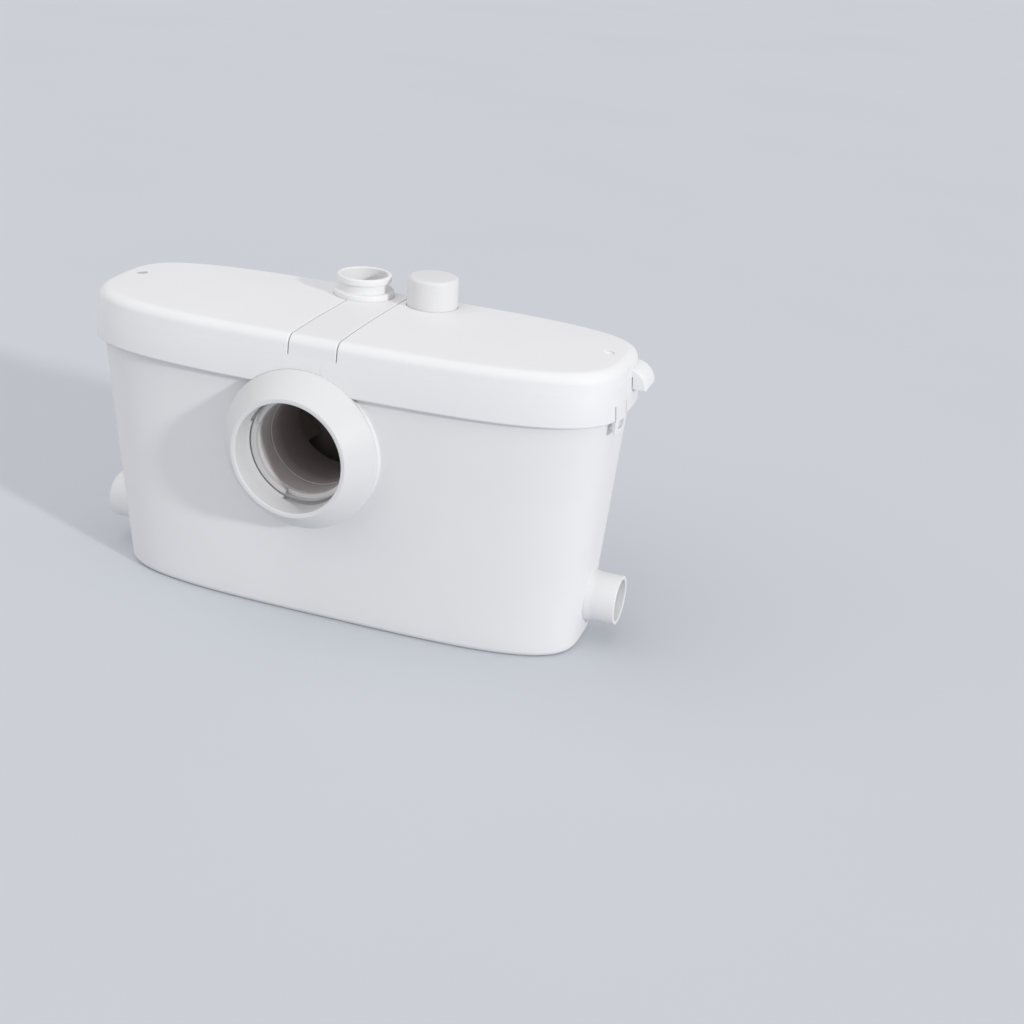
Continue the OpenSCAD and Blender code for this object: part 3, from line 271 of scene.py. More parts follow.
def makePiece(name, *shells):
    # one mesh from closed shells, with doubles merged and faces turned outwards
    starts = np.cumsum([0] + [len(s[0]) for s in shells[:-1]])
    points = np.concatenate([s[0] for s in shells]) * mm
    quads = np.concatenate([s[1] + k for s, k in zip(shells, starts)])
    caps = [cap + k for s, k in zip(shells, starts) for cap in s[2]]
    mesh = bpy.data.meshes.new(name)
    mesh.from_pydata(points.tolist(), [], quads.tolist() + [cap.tolist() for cap in caps])
    cleanMesh(mesh, weld["sliver"], turnOutwards)
    piece = bpy.data.objects.new(name, mesh)
    bpy.context.scene.collection.objects.link(piece)
    return piece


def carve(piece, *cutters):
    # cuts closed shells out of a piece and drops the cutters
    for cutter in cutters:
        cut = piece.modifiers.new("cut", "BOOLEAN")
        cut.operation, cut.solver, cut.object = "DIFFERENCE", "EXACT", cutter
    carved = bpy.data.meshes.new_from_object(piece.evaluated_get(bpy.context.evaluated_depsgraph_get()))
    cleanMesh(carved, weld["cutSliver"], splitPolygons)
    piece.modifiers.clear()
    old, piece.data = piece.data, carved
    carved.name = piece.name
    bpy.data.meshes.remove(old)
    for cutter in cutters:
        bpy.data.meshes.remove(cutter.data)
    return piece


def joinPieces(first, *others):
    # adds the meshes of other pieces to the first one
    work = bmesh.new()
    for piece in (first, *others):
        work.from_mesh(piece.data)
    work.to_mesh(first.data)
    work.free()
    for piece in others:
        bpy.data.meshes.remove(piece.data)
    return first


def dress(piece, finish, body, slot, *nodes, crease=32):
    # finish, smooth faces with sharp edges past the crease angle, body and what the piece stands for
    piece.data.materials.clear()
    piece.data.materials.append(finishes[finish])
    piece.data.polygons.foreach_set("material_index", np.zeros(len(piece.data.polygons), np.int32))
    piece.data.shade_smooth()
    piece.data.set_sharp_from_angle(angle=np.radians(crease))
    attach(piece, body)
    if nodes:
        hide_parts(*nodes)
    print("piece:", piece.name, len(piece.data.polygons), "faces")
    return piece


def rounded(corners, radii, steps=6, closed=True):
    # polyline whose corners become arcs: an arc of radius r meets both sides r tan(turn / 2) from the corner
    p = np.array(corners, float)
    r = np.broadcast_to(np.array(radii, float), len(p)).copy()
    a, b = np.roll(p, 1, 0) - p, np.roll(p, -1, 0) - p
    la, lb = np.linalg.norm(a, axis=1), np.linalg.norm(b, axis=1)
    a, b = a / la[:, None], b / lb[:, None]
    turn = np.pi - np.arccos(np.clip((a * b).sum(1), -1, 1))
    if not closed:
        r[[0, -1]] = 0
    reach = np.minimum(r * np.tan(turn / 2), 0.49 * np.minimum(la, lb))  # arcs of one side never meet
    r = reach / np.tan(np.maximum(turn, 1e-6) / 2)
    inwards = (a + b) / np.linalg.norm(a + b + 1e-12, axis=1)[:, None]
    middle = p + inwards * (r / np.cos(turn / 2))[:, None]
    start, end = p + a * reach[:, None] - middle, p + b * reach[:, None] - middle
    u = np.linspace(0, 1, steps)[None, :, None]
    t = np.maximum(turn, 1e-6)[:, None, None]
    arcs = (np.sin((1 - u) * t) * start[:, None] + np.sin(u * t) * end[:, None]) / np.sin(t)
    line = (middle[:, None] + arcs).reshape(-1, 2)
    keep = np.r_[True, np.linalg.norm(np.diff(line, axis=0), axis=1) > 1e-4]
    return line[keep]


def turned(profile, axis, centre, count=144, closed=True):
    # profile of (radius, height) carried round an axis; on y the height runs to the front, towards -Y
    angle = np.linspace(0, 2 * np.pi, count, endpoint=False)
    r, h = profile[:, :1], profile[:, 1:] + 0 * angle
    u, v = r * np.cos(angle), r * np.sin(angle)
    x, y, z = centre
    spots = {"x": (x + h, y + u, z + v), "y": (x + u, y - h, z + v), "z": (x + u, y + v, z + h)}[axis]
    return shellOf(np.stack(spots, -1), loopRows=closed, loopCols=True)


def rod(axis, centre, radius, low, high, count=96):
    # plain closed round cutter from low to high along an axis
    ends = np.array([[0, low], [radius, low], [radius, high], [0, high]], float)
    return turned(ends, axis, centre, count, closed=False)


def block(low, high):
    # plain closed box cutter between two corners
    x, y, z = zip(low, high)
    ring = np.array([[x[0], y[0]], [x[1], y[0]], [x[1], y[1]], [x[0], y[1]]], float)
    return tubeOf(np.stack([np.c_[ring, np.full(4, h)] for h in z]))


def roundedBlock(low, high, radius, steps=4):
    # box with rounded vertical and horizontal edges: its plan shrinks along a quarter round at both ends
    low, high = np.array(low, float), np.array(high, float)
    turn = np.linspace(0, np.pi / 2, steps)
    inset = np.r_[radius * (1 - np.sin(turn)), radius * (1 - np.cos(turn))]
    height = np.r_[low[2] + radius * (1 - np.cos(turn)), high[2] - radius * (1 - np.sin(turn))]
    upright = 1.4 * radius  # the upright edges are a little rounder
    plan = rounded([low[:2], (high[0], low[1]), high[:2], (low[0], high[1])], upright, steps + 1)
    middle, half = (low[:2] + high[:2]) / 2, (high[:2] - low[:2]) / 2
    ring = middle + (plan - middle)[None] * (1 - inset[:, None, None] / half)
    return tubeOf(np.concatenate([ring, np.broadcast_to(height[:, None, None], ring.shape[:2] + (1,))], -1))


# Case: tank, skirt and lids share one family of plan outlines

case = {
    "halfLength": 250, "front": 96, "rear": 76.5, "power": 3.5,  # lid outline
    "baseLength": 234, "baseDepth": 74, "skirtZ": 236.5,  # tank foot, height of the skirt edge
    "rimLength": 250.6, "rimFront": 96.6, "rimRear": 77.1,  # tank outline at that height
    "rimZ": 250, "deckZ": 252.5, "deckTop": 256.5, "lidZ": 266, "topZ": 284,
    "seamLeft": -28, "seamRight": 18, "seamGap": 0.5, "wall": 4,
    "points": 560, "trials": 40001, "bendWeight": 110,  # a turn of one radian counts as this length
}
places = {
    "inlet": (-14, 0, 180), "neck": (-22.5, 48, 0), "cap": (47, 48, 0), "stubs": (0, 3.7, 46),
    "screwX": 232, "latchY": -30,
}


def outlineAt(length, front, rear, t):
    # x = length sgn(cos t)|cos t|^(2/n), y = front or rear depth times sgn(sin t)|sin t|^(2/n)
    k = 2 / case["power"]
    c, s = np.cos(t), np.sin(t)
    depth = np.where(s < 0, front, rear)
    return length * np.sign(c) * np.abs(c) ** k, depth * np.sign(s) * np.abs(s) ** k


def evenTurns(low, high, count, closed=False):
    # turns between low and high whose points stand evenly by length and by change of direction
    t = np.linspace(low, high, case["trials"])
    x, y = outlineAt(case["halfLength"], case["front"], case["rear"], t)
    dx, dy = np.diff(x), np.diff(y)
    bend = np.abs(np.diff(np.unwrap(np.arctan2(dy, dx)), prepend=np.arctan2(dy[0], dx[0])))
    way = np.r_[0, np.cumsum(np.hypot(dx, dy) + case["bendWeight"] * bend)]
    return np.interp(np.linspace(0, way[-1], count, endpoint=not closed), way, t)


aroundCase = evenTurns(0, 2 * np.pi, case["points"], closed=True)


def lidLoops(profile, t):
    # rows of the lid outline grown by each offset of an (offset, height) profile
    d, z = profile[:, :1], profile[:, 1:]
    x, y = outlineAt(case["halfLength"] + d, case["front"] + d, case["rear"] + d, t)
    return np.stack([x, y, z + 0 * x], -1)


def tankLoops(profile, t):
    # rows of the tank outline, which grows evenly from the foot to the skirt edge
    d, z = profile[:, :1], profile[:, 1:]
    share = z / case["skirtZ"]
    length = case["baseLength"] + (case["rimLength"] - case["baseLength"]) * share + d
    front = case["baseDepth"] + (case["rimFront"] - case["baseDepth"]) * share + d
    rear = case["baseDepth"] + (case["rimRear"] - case["baseDepth"]) * share + d
    x, y = outlineAt(length, front, rear, t)
    return np.stack([x, y, z + 0 * x], -1)


def depthAt(x, d, side):
    # depth of the lid outline grown by d at x, front for side -1 and rear for side 1
    reach = (case["front"] if side < 0 else case["rear"]) + d
    return side * reach * (1 - (np.abs(x) / (case["halfLength"] + d)) ** case["power"]) ** (1 / case["power"])


def lengthAt(y, d):
    # half length of the lid outline grown by d at a y in front of the middle
    share = np.abs(y) / (case["front"] + d)
    return (case["halfLength"] + d) * (1 - share ** case["power"]) ** (1 / case["power"])


# Tank: one tapered shell with a rolled foot, the round seat of the inlet and the two side stubs

tank = {
    "foot": (5, 6.5), "floorRise": 0.2,  # inset and height of the rolled foot, share the floor follows
    "footRows": 9, "wallRows": 31, "holeR": 56, "holeReach": (60, 130),
    "seatR": 73, "seatBack": 84, "seatFront": 101.1, "seatRounds": (0, 0, 0.8, 0.5),
    "trimFront": 99.1,  # behind this the seat ends at the tank's rim
    "stubR": 23.3, "boreR": 19.8, "stubRoot": 228, "stubEnd": 266, "boreReach": (215, 280),
    "flareR": 24.5, "flareX": 240.88, "flareHalf": 2.8, "stubRounds": (0, 0, 3, 6, 0.9, 0.7),
    "catchW": 10, "catchX": (246.1, 253.1), "catchZ": (229.5, 234.5), "catchRound": 0.7,
}


def buildTank():
    # loops up the outside and down the inside; seat, stubs and catches are shells of their own
    s = tank
    inset, height = s["foot"]
    turn = np.linspace(0, np.pi / 2, s["footRows"])
    foot = np.c_[-inset * (1 - np.sin(turn)), height * (1 - np.cos(turn))]
    rise = np.linspace(height, case["rimZ"], s["wallRows"])[1:]
    outside = np.vstack([foot, np.c_[0 * rise, rise]])
    inside = outside[::-1] - [case["wall"], 0]
    inside[:, 1] = np.maximum(inside[:, 1], case["wall"] + s["floorRise"] * inside[:, 1])
    body = makePiece("tank_shell", tubeOf(tankLoops(np.vstack([outside, inside]), aroundCase)))
    inlet, stubs = places["inlet"], places["stubs"]
    near, far = s["boreReach"]
    carve(body, makePiece("cut_inlet", rod("y", inlet, s["holeR"], *s["holeReach"], count=160)),
          makePiece("cut_left", rod("x", stubs, s["boreR"], -far, -near)),
          makePiece("cut_right", rod("x", stubs, s["boreR"], near, far)))

    seat = rounded([(s["holeR"], s["seatBack"]), (s["seatR"], s["seatBack"]), (s["seatR"], s["seatFront"]),
                    (s["holeR"], s["seatFront"])], s["seatRounds"])
    ring = makePiece("tank_seat", turned(seat, "y", inlet, count=192))
    reach = 2 * s["seatR"]
    above = block((inlet[0] - reach, -s["trimFront"], case["rimZ"]), (inlet[0] + reach, 0, case["topZ"]))
    carve(ring, makePiece("cut_top", above))

    tube = rounded([(s["boreR"], s["stubRoot"]), (s["flareR"], s["stubRoot"]),
                    (s["flareR"], s["flareX"] - s["flareHalf"]), (s["stubR"], s["flareX"] + s["flareHalf"]),
                    (s["stubR"], s["stubEnd"]), (s["boreR"], s["stubEnd"])], s["stubRounds"])
    pair = [turned(tube * [1, k], "x", stubs, count=128) for k in (1, -1)]

    (near, far), (low, high), half = s["catchX"], s["catchZ"], s["catchW"] / 2
    y0, y1 = places["latchY"] - half, places["latchY"] + half
    nubs = [roundedBlock((x0, y0, low), (x1, y1, high), s["catchRound"])
            for x0, x1 in ((near, far), (-far, -near))]
    joinPieces(body, ring, makePiece("tank_stubs", *pair), makePiece("tank_catches", *nubs))
    body.name = "moulded_tank"
    return dress(body, "caseWhite", "case", "white_abs", "tank")


buildTank()


# Top casing: skirt band, deck with the two wells, bridge between the lids and a snap latch at each end

skirt = {
    "outLow": 7.6, "outTop": 5.0, "chamfer": 1.5, "innerLow": 4.1, "innerDeck": 2.4, "innerTop": 1.0,
    "ledge": 2, "rounds": (0.8, 1.2, 0.15, 0.3, 0, 0, 0.6),
    "hubCutR": 66, "hubBack": 96.1, "rimCutR": 74.65, "rimSeat": 101.3, "cutFront": 125,  # for the collar
    "slit": 1.3, "slitZ": (230, 250.5), "endReach": (242, 270),  # slits beside the latches, end cutters
    "gland": (-140, 0, 261.25), "glandR": 4.2, "glandReach": (-95, -60),
}
latch = {
    "width": 22, "thick": 3.2, "low": 224.5, "high": 251.5, "lip": 5, "nose": 0.9, "sideEase": 0.35,
    "rounds": (0, 2, 0.4, 0.5, 0, 0), "slotW": 12, "slotZ": (228.5, 236), "slotRound": 1.2,
}


def buildSkirt():
    # closed band section carried round the lid outline, then cut for the collar, the latches and the gland
    s = skirt
    edge = case["skirtZ"]
    section = rounded([(s["outLow"] - s["chamfer"], edge), (s["outLow"], edge + s["chamfer"]),
                       (s["outTop"], case["lidZ"]), (s["innerTop"], case["lidZ"]),
                       (s["innerTop"], case["deckTop"] - s["ledge"]), (s["innerDeck"], case["deckZ"]),
                       (s["innerLow"], edge)], s["rounds"], steps=5)
    band = makePiece("casing_skirt", shellOf(lidLoops(section, aroundCase), loopRows=True, loopCols=True))
    cuts = [rod("y", places["inlet"], s["hubCutR"], s["hubBack"], s["cutFront"], count=192),
            rod("y", places["inlet"], s["rimCutR"], s["rimSeat"], s["cutFront"], count=192)]
    low, high = s["slitZ"]
    for end in (-1, 1):
        x0, x1 = sorted(end * x for x in s["endReach"])
        for k in (-1, 1):
            y = places["latchY"] + k * (latch["width"] + s["slit"]) / 2
            cuts.append(block((x0, y - s["slit"] / 2, low), (x1, y + s["slit"] / 2, high)))
    cuts.append(rod("y", s["gland"], s["glandR"], *s["glandReach"], count=48))
    return carve(band, *[makePiece("cut_band", cut) for cut in cuts])


def bandOffset(z):
    # outer face of the band at a height: full up to its chamfer, then drawn in evenly to the lid
    start = case["skirtZ"] + skirt["chamfer"]
    share = np.maximum((z - start) / (case["lidZ"] - start), 0)
    return skirt["outLow"] + (skirt["outTop"] - skirt["outLow"]) * share


def buildLatch(end):
    # tongue that carries on the band's outer face: side view of (offset, height), run over the latch width
    s = latch
    out, top = skirt["outLow"], bandOffset(s["high"])
    side = rounded([(top - s["thick"], s["high"]), (out - s["thick"], s["low"] + s["lip"]),
                    (out - s["nose"], s["low"]), (out, s["low"]), (out, case["skirtZ"] + skirt["chamfer"]),
                    (top, s["high"])], s["rounds"], steps=5)
    across = np.r_[-0.5, np.linspace(-0.48, 0.48, 15), 0.5][:, None]
    ease = np.where(np.abs(across) == 0.5, s["sideEase"], 0)  # thinner at both sides
    d = side[:, 0] + ease * np.sign(side[:, 0].mean() - side[:, 0])
    y = places["latchY"] + s["width"] * across
    x = lengthAt(y, d)
    tongue = makePiece("casing_latch", tubeOf(np.stack([end * x, y + 0 * x, side[:, 1] + 0 * x], -1)))
    half, (low, high) = s["slotW"] / 2, s["slotZ"]
    x0, x1 = sorted(end * x for x in skirt["endReach"])
    y0, y1 = places["latchY"] - half, places["latchY"] + half
    slot = roundedBlock((x0, y0, low), (x1, y1, high), s["slotRound"])
    return carve(tongue, makePiece("cut_slot", slot))


deck = {
    "plate": (1.6, 1.2), "cutSpare": 6, "holeEase": 1.5,  # offsets of the plate's lower and upper edge
    "wellX": -145, "wellY": -8, "wellHalf": 30, "wellR": 45, "wellT": 3, "wellFloor": 200.5,
    "wellRounds": (0, 4, 0.6, 0.3, 2, 0), "plugR": 6.5, "plugDx": 34, "plugDy": 17, "plugReach": (190, 210),
    "tub": (150, -5, 0), "tubR": 70, "tubT": 3, "tubFloor": 226, "tubFloorT": 4, "portR": 56,
    "tubRounds": (0.6, 0.3, 2, 0.5, 0.5, 2), "neckR": 24.4, "spigotR": 20,
    "postR": 5, "screwR": 2.4, "postSink": 1, "postGap": 0.5, "postRounds": (0, 0, 0.5, 0.3),
}


def wellLoops(profile, count=160):
    # rows of a stadium plan round the left well, grown to each radius of a (radius, height) profile
    t = np.linspace(0, 2 * np.pi, count, endpoint=False) + np.pi / count
    r, z = profile[:, :1], profile[:, 1:]
    x = deck["wellX"] + np.sign(np.cos(t)) * deck["wellHalf"] + r * np.cos(t)
    y = deck["wellY"] + r * np.sin(t)
    return np.stack([x, y, z + 0 * x], -1)


def buildDeck():
    # plate with its holes, the two wells as profiles carried round their plans, and the screw posts
    s = deck
    top = case["deckTop"]
    edge = np.array([[s["plate"][0], case["deckZ"]], [s["plate"][1], top]])
    plate = makePiece("casing_deck", tubeOf(lidLoops(edge, aroundCase[::2])))
    low, high = case["deckZ"] - s["cutSpare"], top + s["cutSpare"]
    wide = s["wellR"] + s["holeEase"]
    holes = [tubeOf(wellLoops(np.array([[wide, low], [wide, high]], float))),
             rod("z", s["tub"], s["tubR"] + s["holeEase"], low, high, count=144),
             rod("z", places["neck"], s["neckR"], low, high),
             rod("z", places["cap"], s["spigotR"], low, high)]
    carve(plate, *[makePiece("cut_deck", hole) for hole in holes])

    r, t, floor = s["wellR"], s["wellT"], s["wellFloor"]
    basin = rounded([(0, floor), (r, floor), (r, top), (r + t, top), (r + t, floor - t), (0, floor - t)],
                    s["wellRounds"], steps=5, closed=False)
    well = makePiece("casing_well", shellOf(wellLoops(basin), loopCols=True))
    spots = [(s["wellX"] + s["plugDx"], s["wellY"] + k * s["plugDy"], 0) for k in (-1, 1)]
    holes = [rod("z", spot, s["plugR"], *s["plugReach"], count=48) for spot in spots]
    carve(well, *[makePiece("cut_plug", hole) for hole in holes])

    r, t, floor = s["tubR"], s["tubT"], s["tubFloor"]
    under = floor - s["tubFloorT"]
    bowl = rounded([(r, top), (r + t, top), (r + t, under), (s["portR"], under), (s["portR"], floor),
                    (r, floor)], s["tubRounds"], steps=5)
    foot, head = top - s["postSink"], case["lidZ"] - s["postGap"]
    post = rounded([(s["screwR"], foot), (s["postR"], foot), (s["postR"], head), (s["screwR"], head)],
                   s["postRounds"], steps=4)
    posts = [turned(post, "z", (k * places["screwX"], 0, 0), count=48) for k in (-1, 1)]
    tub = makePiece("casing_tub", turned(bowl, "z", s["tub"], count=160), *posts)
    return joinPieces(plate, well, tub)


lid = {
    "foot": 5, "corner": 3.0, "cornerDrop": 0.6, "edgeRound": 10.5, "crownIn": 66, "crown": 0.8,  # profile
    "thick": 3.5, "columns": 420, "spineRise": 0.05, "heart": (0, 0, 200.0),  # normals point away from it
    "seamRound": 0.7, "wallGap": 0.05, "wallT": 3.5, "wallInset": 2.2, "wallFoot": (-92, 72.5),  # seam walls
    "recessR": 5.2, "neckHole": 28.9, "capHole": 24.4, "holeReach": (250, 300),
}
boss = {"bore": 2.1, "outer": 8, "low": 270.5, "seat": 274, "top": 282, "rounds": (0, 0.8, 0, 0, 0.4, 0.2)}
bridge = {"flat": 2, "columns": 24, "sink": 1, "capRoom": 26.4}


def lidProfile(inset=0.0):
    # (offset, height) from the lower edge over the rounded top edge to the crown
    s = lid
    top = case["topZ"] - inset
    line = rounded([(s["foot"] - inset, case["lidZ"]), (s["corner"] - inset, top - s["cornerDrop"]),
                    (-s["crownIn"], top + s["crown"])], [0, s["edgeRound"] - inset / 2, 0],
                   steps=15, closed=False)
    wall, arc = line[:1], line[1:-1]
    up = wall + (arc[:1] - wall) * np.linspace(0, 1, 5)[:-1, None]
    share = np.linspace(0, 1, 9)[1:, None]
    run = arc[-1:] + (line[-1:] - arc[-1:]) * share
    run[:, 1] = arc[-1, 1] + (line[-1, 1] - arc[-1, 1]) * np.sin(share[:, 0] * np.pi / 2)
    return np.vstack([up, arc, run])


def seamColumns():
    # distances from a seam of the columns that round its edge over
    return lid["seamRound"] * (1 - np.cos(np.linspace(0, np.pi / 2, 6)))


def sunkEdges(grid, distance):
    # moves points near a seam inwards along the normal, by r - sqrt(r^2 - (r - s)^2) at a distance s
    radius = lid["seamRound"]
    along, across = np.gradient(grid, axis=1), np.gradient(grid, axis=0)
    normal = np.cross(along, across)
    normal /= np.maximum(np.linalg.norm(normal, axis=-1, keepdims=True), 1e-9)
    outward = grid - np.array(lid["heart"])
    normal *= np.sign((normal * outward).sum(-1, keepdims=True))
    s = np.clip(distance, 0, radius)
    drop = radius - np.sqrt(radius ** 2 - (radius - s) ** 2)
    return grid - normal * drop[None, :, None], normal


def seamWall(x0, x1, low):
    # flat wall below a seam: plan lines between the sunk profile and a straight lower edge
    line = lidProfile(lid["wallInset"])
    middle = (x0 + x1) / 2
    y = np.r_[depthAt(middle, line[:, 0], -1), depthAt(middle, line[::-1, 0], 1)]
    z = np.r_[line[:, 1], line[::-1, 1]]
    share = np.linspace(0, 1, 6)[:, None]
    yRows = y + (np.linspace(*lid["wallFoot"], len(y)) - y) * share
    zRows = z + (low - z) * share
    return thickSheet(*[np.stack([np.full_like(yRows, x), yRows, zRows], -1) for x in (x0, x1)])


def lidHole(place, radius, count=144):
    return makePiece("cut_hole", rod("z", place, radius, *lid["holeReach"], count))


def buildLidShell(side, seam):
    # one lid: rows up the profile, columns round the outline from the rear seam to the front seam
    s = lid
    profile = lidProfile()
    near = seamColumns()
    xs = seam + side * near
    length = case["halfLength"] + profile[:, :1]
    start = np.arccos(np.sign(xs) * (np.abs(xs) / length) ** (case["power"] / 2))
    full = 2 * np.pi if side < 0 else 0
    first = start[0, -1]
    share = (evenTurns(first, full - first, s["columns"]) - first) / (full - 2 * first)
    last = start[:, -1:]
    middle = last + (full - 2 * last) * share[1:-1]
    t = np.concatenate([start, middle, (full - start)[:, ::-1]], 1)
    grid = lidLoops(profile, t)
    spine = (grid[-1:] + grid[-1:, ::-1]) / 2 + [0, 0, s["spineRise"]]
    grid = np.concatenate([grid, spine])
    distance = np.r_[near, np.full(len(share) - 2, s["seamRound"]), near[::-1]]
    outer, normal = sunkEdges(grid, distance)
    outer[-1] = (outer[-1] + outer[-1, ::-1]) / 2  # both halves end on one middle line
    inner = grid - s["thick"] * normal
    inner[0] = grid[0] - s["thick"] * normal[0] * [1, 1, 0]  # the lower edge stays level
    inner[-2:] = grid[-2:] - [0, 0, s["thick"]]
    return makePiece("lid_shell", thickSheet(outer, inner, lastRow=False))


def recessBoss(x):
    # tube under the screw recess with a seat for the screw head
    s, r = boss, lid["recessR"]
    line = rounded([(s["bore"], s["low"]), (s["outer"], s["low"]), (s["outer"], s["top"]), (r, s["top"]),
                    (r, s["seat"]), (s["bore"], s["seat"])], s["rounds"], steps=4)
    return turned(line, "z", (x, 0, 0), count=64)


hood = {
    "x": 251, "y": 15, "z": 255, "width": 32, "radius": 18, "thick": 3, "edge": 1.6, "innerEdge": 0.8,
    "hub": 0.5, "sweep": 105,  # smallest radius about the axis, degrees of turn
    "room": ((8.2, 238), (5.9, 265.6)), "roomInset": 1.75, "roomLift": 0.001,  # space left for band and lid
}


def buildHood():
    # pull hood: a cupped profile turned a little past a quarter round about a level axis
    s = hood
    half, r, t, hub = s["width"] / 2, s["radius"], s["thick"], s["hub"]
    cup = rounded([(-half, hub), (-half, r), (half, r), (half, hub),
                   (half - t, hub), (half - t, r - t), (-half + t, r - t), (-half + t, hub)],
                  [0, s["edge"], s["edge"], 0, 0, s["innerEdge"], s["innerEdge"], 0])
    turn = np.linspace(0, np.radians(s["sweep"]), 40)[:, None]
    x, z = s["x"] + cup[:, 1] * np.cos(turn), s["z"] + cup[:, 1] * np.sin(turn)
    piece = makePiece("lid_hood", tubeOf(np.stack([x, s["y"] + cup[:, 0] + 0 * turn, z], -1)))
    edge = lidProfile(s["roomInset"])[:-4] + [0, s["roomLift"]]  # without the crown's last rows
    room = tubeOf(lidLoops(np.vstack([s["room"], edge]), aroundCase[::2]))
    return carve(piece, makePiece("cut_lid", room))


def buildLid(side):
    # shell with its holes, the wall at the seam, the boss of the screw and, at the right, the pull hood
    s = lid
    name = "left" if side < 0 else "right"
    place, radius = (places["neck"], s["neckHole"]) if side < 0 else (places["cap"], s["capHole"])
    seam = (case["seamLeft"] if side < 0 else case["seamRight"]) + side * case["seamGap"]
    x = side * places["screwX"]
    shell = buildLidShell(side, seam)
    carve(shell, lidHole(place, radius), lidHole((x, 0, 0), s["recessR"], count=64))
    x0, x1 = sorted((seam + side * s["wallGap"], seam + side * s["wallT"]))
    wall = makePiece("lid_wall", seamWall(x0, x1, case["lidZ"]))
    carve(wall, lidHole(place, radius))
    joinPieces(shell, wall, makePiece("lid_boss", recessBoss(x)), *([buildHood()] if side > 0 else []))
    shell.name = f"smooth_{name}_lid"
    return dress(shell, "lidWhite", f"{name}_lid", "lid_abs", f"{name}_lid")


def buildBridge():
    # strip between the seams: columns across it, rows from the front edge over the top to the rear edge
    s = bridge
    x0, x1 = case["seamLeft"] + case["seamGap"], case["seamRight"] - case["seamGap"]
    near = seamColumns()
    x = np.r_[x0 + near, np.linspace(x0 + s["flat"], x1 - s["flat"], s["columns"]), (x1 - near)[::-1]]
    line = lidProfile()
    rows = [np.stack([x + 0 * d, depthAt(x, d, side), z + 0 * x], -1)
            for side, d, z in ((-1, line[:, :1], line[:, 1:]), (1, line[::-1, :1], line[::-1, 1:]))]
    grid = np.concatenate(rows)
    outer, normal = sunkEdges(grid, np.minimum(x - x0, x1 - x))
    skin = makePiece("bridge_skin", thickSheet(outer, grid - lid["thick"] * normal))
    gap, thick, low = lid["wallGap"], lid["wallT"], case["deckTop"] - s["sink"]
    walls = makePiece("bridge_walls", seamWall(x0 + gap, x0 + thick, low),
                      seamWall(x1 - thick, x1 - gap, low))
    for piece in (skin, walls):
        carve(piece, lidHole(places["neck"], lid["neckHole"]), lidHole(places["cap"], s["capRoom"]))
    return joinPieces(skin, walls)


def buildCasing():
    band = buildSkirt()
    joinPieces(band, buildDeck(), buildBridge(), buildLatch(1), buildLatch(-1))
    band.name = "moulded_casing"
    return dress(band, "caseWhite", "case", "white_abs", "top_casing")


buildCasing()
buildLid(-1)
buildLid(1)


# Inlet: conical collar, the ring in it that steps back between two tabs, and the port and lining behind

collar = {
    "boreR": 51, "back": 84, "ringBack": 100, "hubR": 56, "sleeveR": 54, "sealR": 64, "seatFront": 104.3,
    "sealD": 9, "rimR": 74.5, "rimBack": 101.5, "rimEdge": 2.5, "front": 128, "lipR": 55.2, "coneT": 3,
    "rounds": (0, 1.3, 1.0, 1.4, 0.6, 0.5, 0.5, 0, 0, 0, 0.5, 0.5, 0),
    "tabs": ((-20, 72), (160, 252)), "recessR": 53.4, "recessD": 6.5, "overcut": 0.5,  # tabs in degrees
}
notched = {
    "innerR": 45, "stepBack": 4, "slope": 0.8, "back": 95, "ease": 0.4, "grooveR": 49.9, "grooveD": 2.5,
    "fit": 0.02,
}
port = {"outerR": 50.9, "innerR": 45.2, "front": 94.9, "back": 91, "rounds": (0.3, 0, 0.2, 0.4)}
lining = {
    "outerR": 50.9, "endR": 43.2, "stepR": (44.0, 44.6), "step": (70, 70.5), "mouthR": (45.1, 45.5),
    "mouthD": 0.5, "rounds": (0.3, 0.6, 1.5, 0.3, 0.2, 0.3, 0.3),
}


def buildCollar():
    # section turned about the bore: bore, lip, cone, rim, seal groove and hub
    s = collar
    under = s["rimR"] - s["coneT"]
    edge, seat = s["rimBack"] + s["rimEdge"], s["seatFront"]
    line = [(s["boreR"], s["ringBack"]), (s["boreR"], s["front"]), (s["lipR"], s["front"]), (s["rimR"], edge),
            (s["rimR"], s["rimBack"]), (under, s["rimBack"]), (under, edge), (s["sealR"], seat + s["sealD"]),
            (s["sealR"], seat), (s["hubR"], seat), (s["hubR"], s["back"]), (s["sleeveR"], s["back"]),
            (s["sleeveR"], s["ringBack"])]
    section = turned(rounded(line, s["rounds"], steps=8), "y", places["inlet"], count=224)
    piece = makePiece("conical_collar", section)
    steps = [(end, start % 360) for (_, end), (start, _) in zip(s["tabs"], s["tabs"][1:] + s["tabs"][:1])]
    carve(piece, *[makePiece("cut_recess", boreRecess(low, high)) for low, high in steps])
    # the collar's darker white is painted shade
    return dress(piece, "collarShadedWhite", "case", "collar_abs", "inlet_collar", crease=40)


def boreRecess(low, high):
    # sector of a ring between two angles: the bore ends early where the ring behind it steps back
    s = collar
    angle = np.radians(np.linspace(low, high, 45))[:, None]
    inside, back = s["boreR"] - 2 * s["overcut"], s["ringBack"] - s["overcut"]
    front = s["ringBack"] + s["recessD"]
    r = np.array([inside, s["recessR"], s["recessR"], inside])
    depth = np.array([back, back, front, front])
    x, _, z = places["inlet"]
    return tubeOf(np.stack([x + r * np.cos(angle), -depth + 0 * angle, z + r * np.sin(angle)], -1))


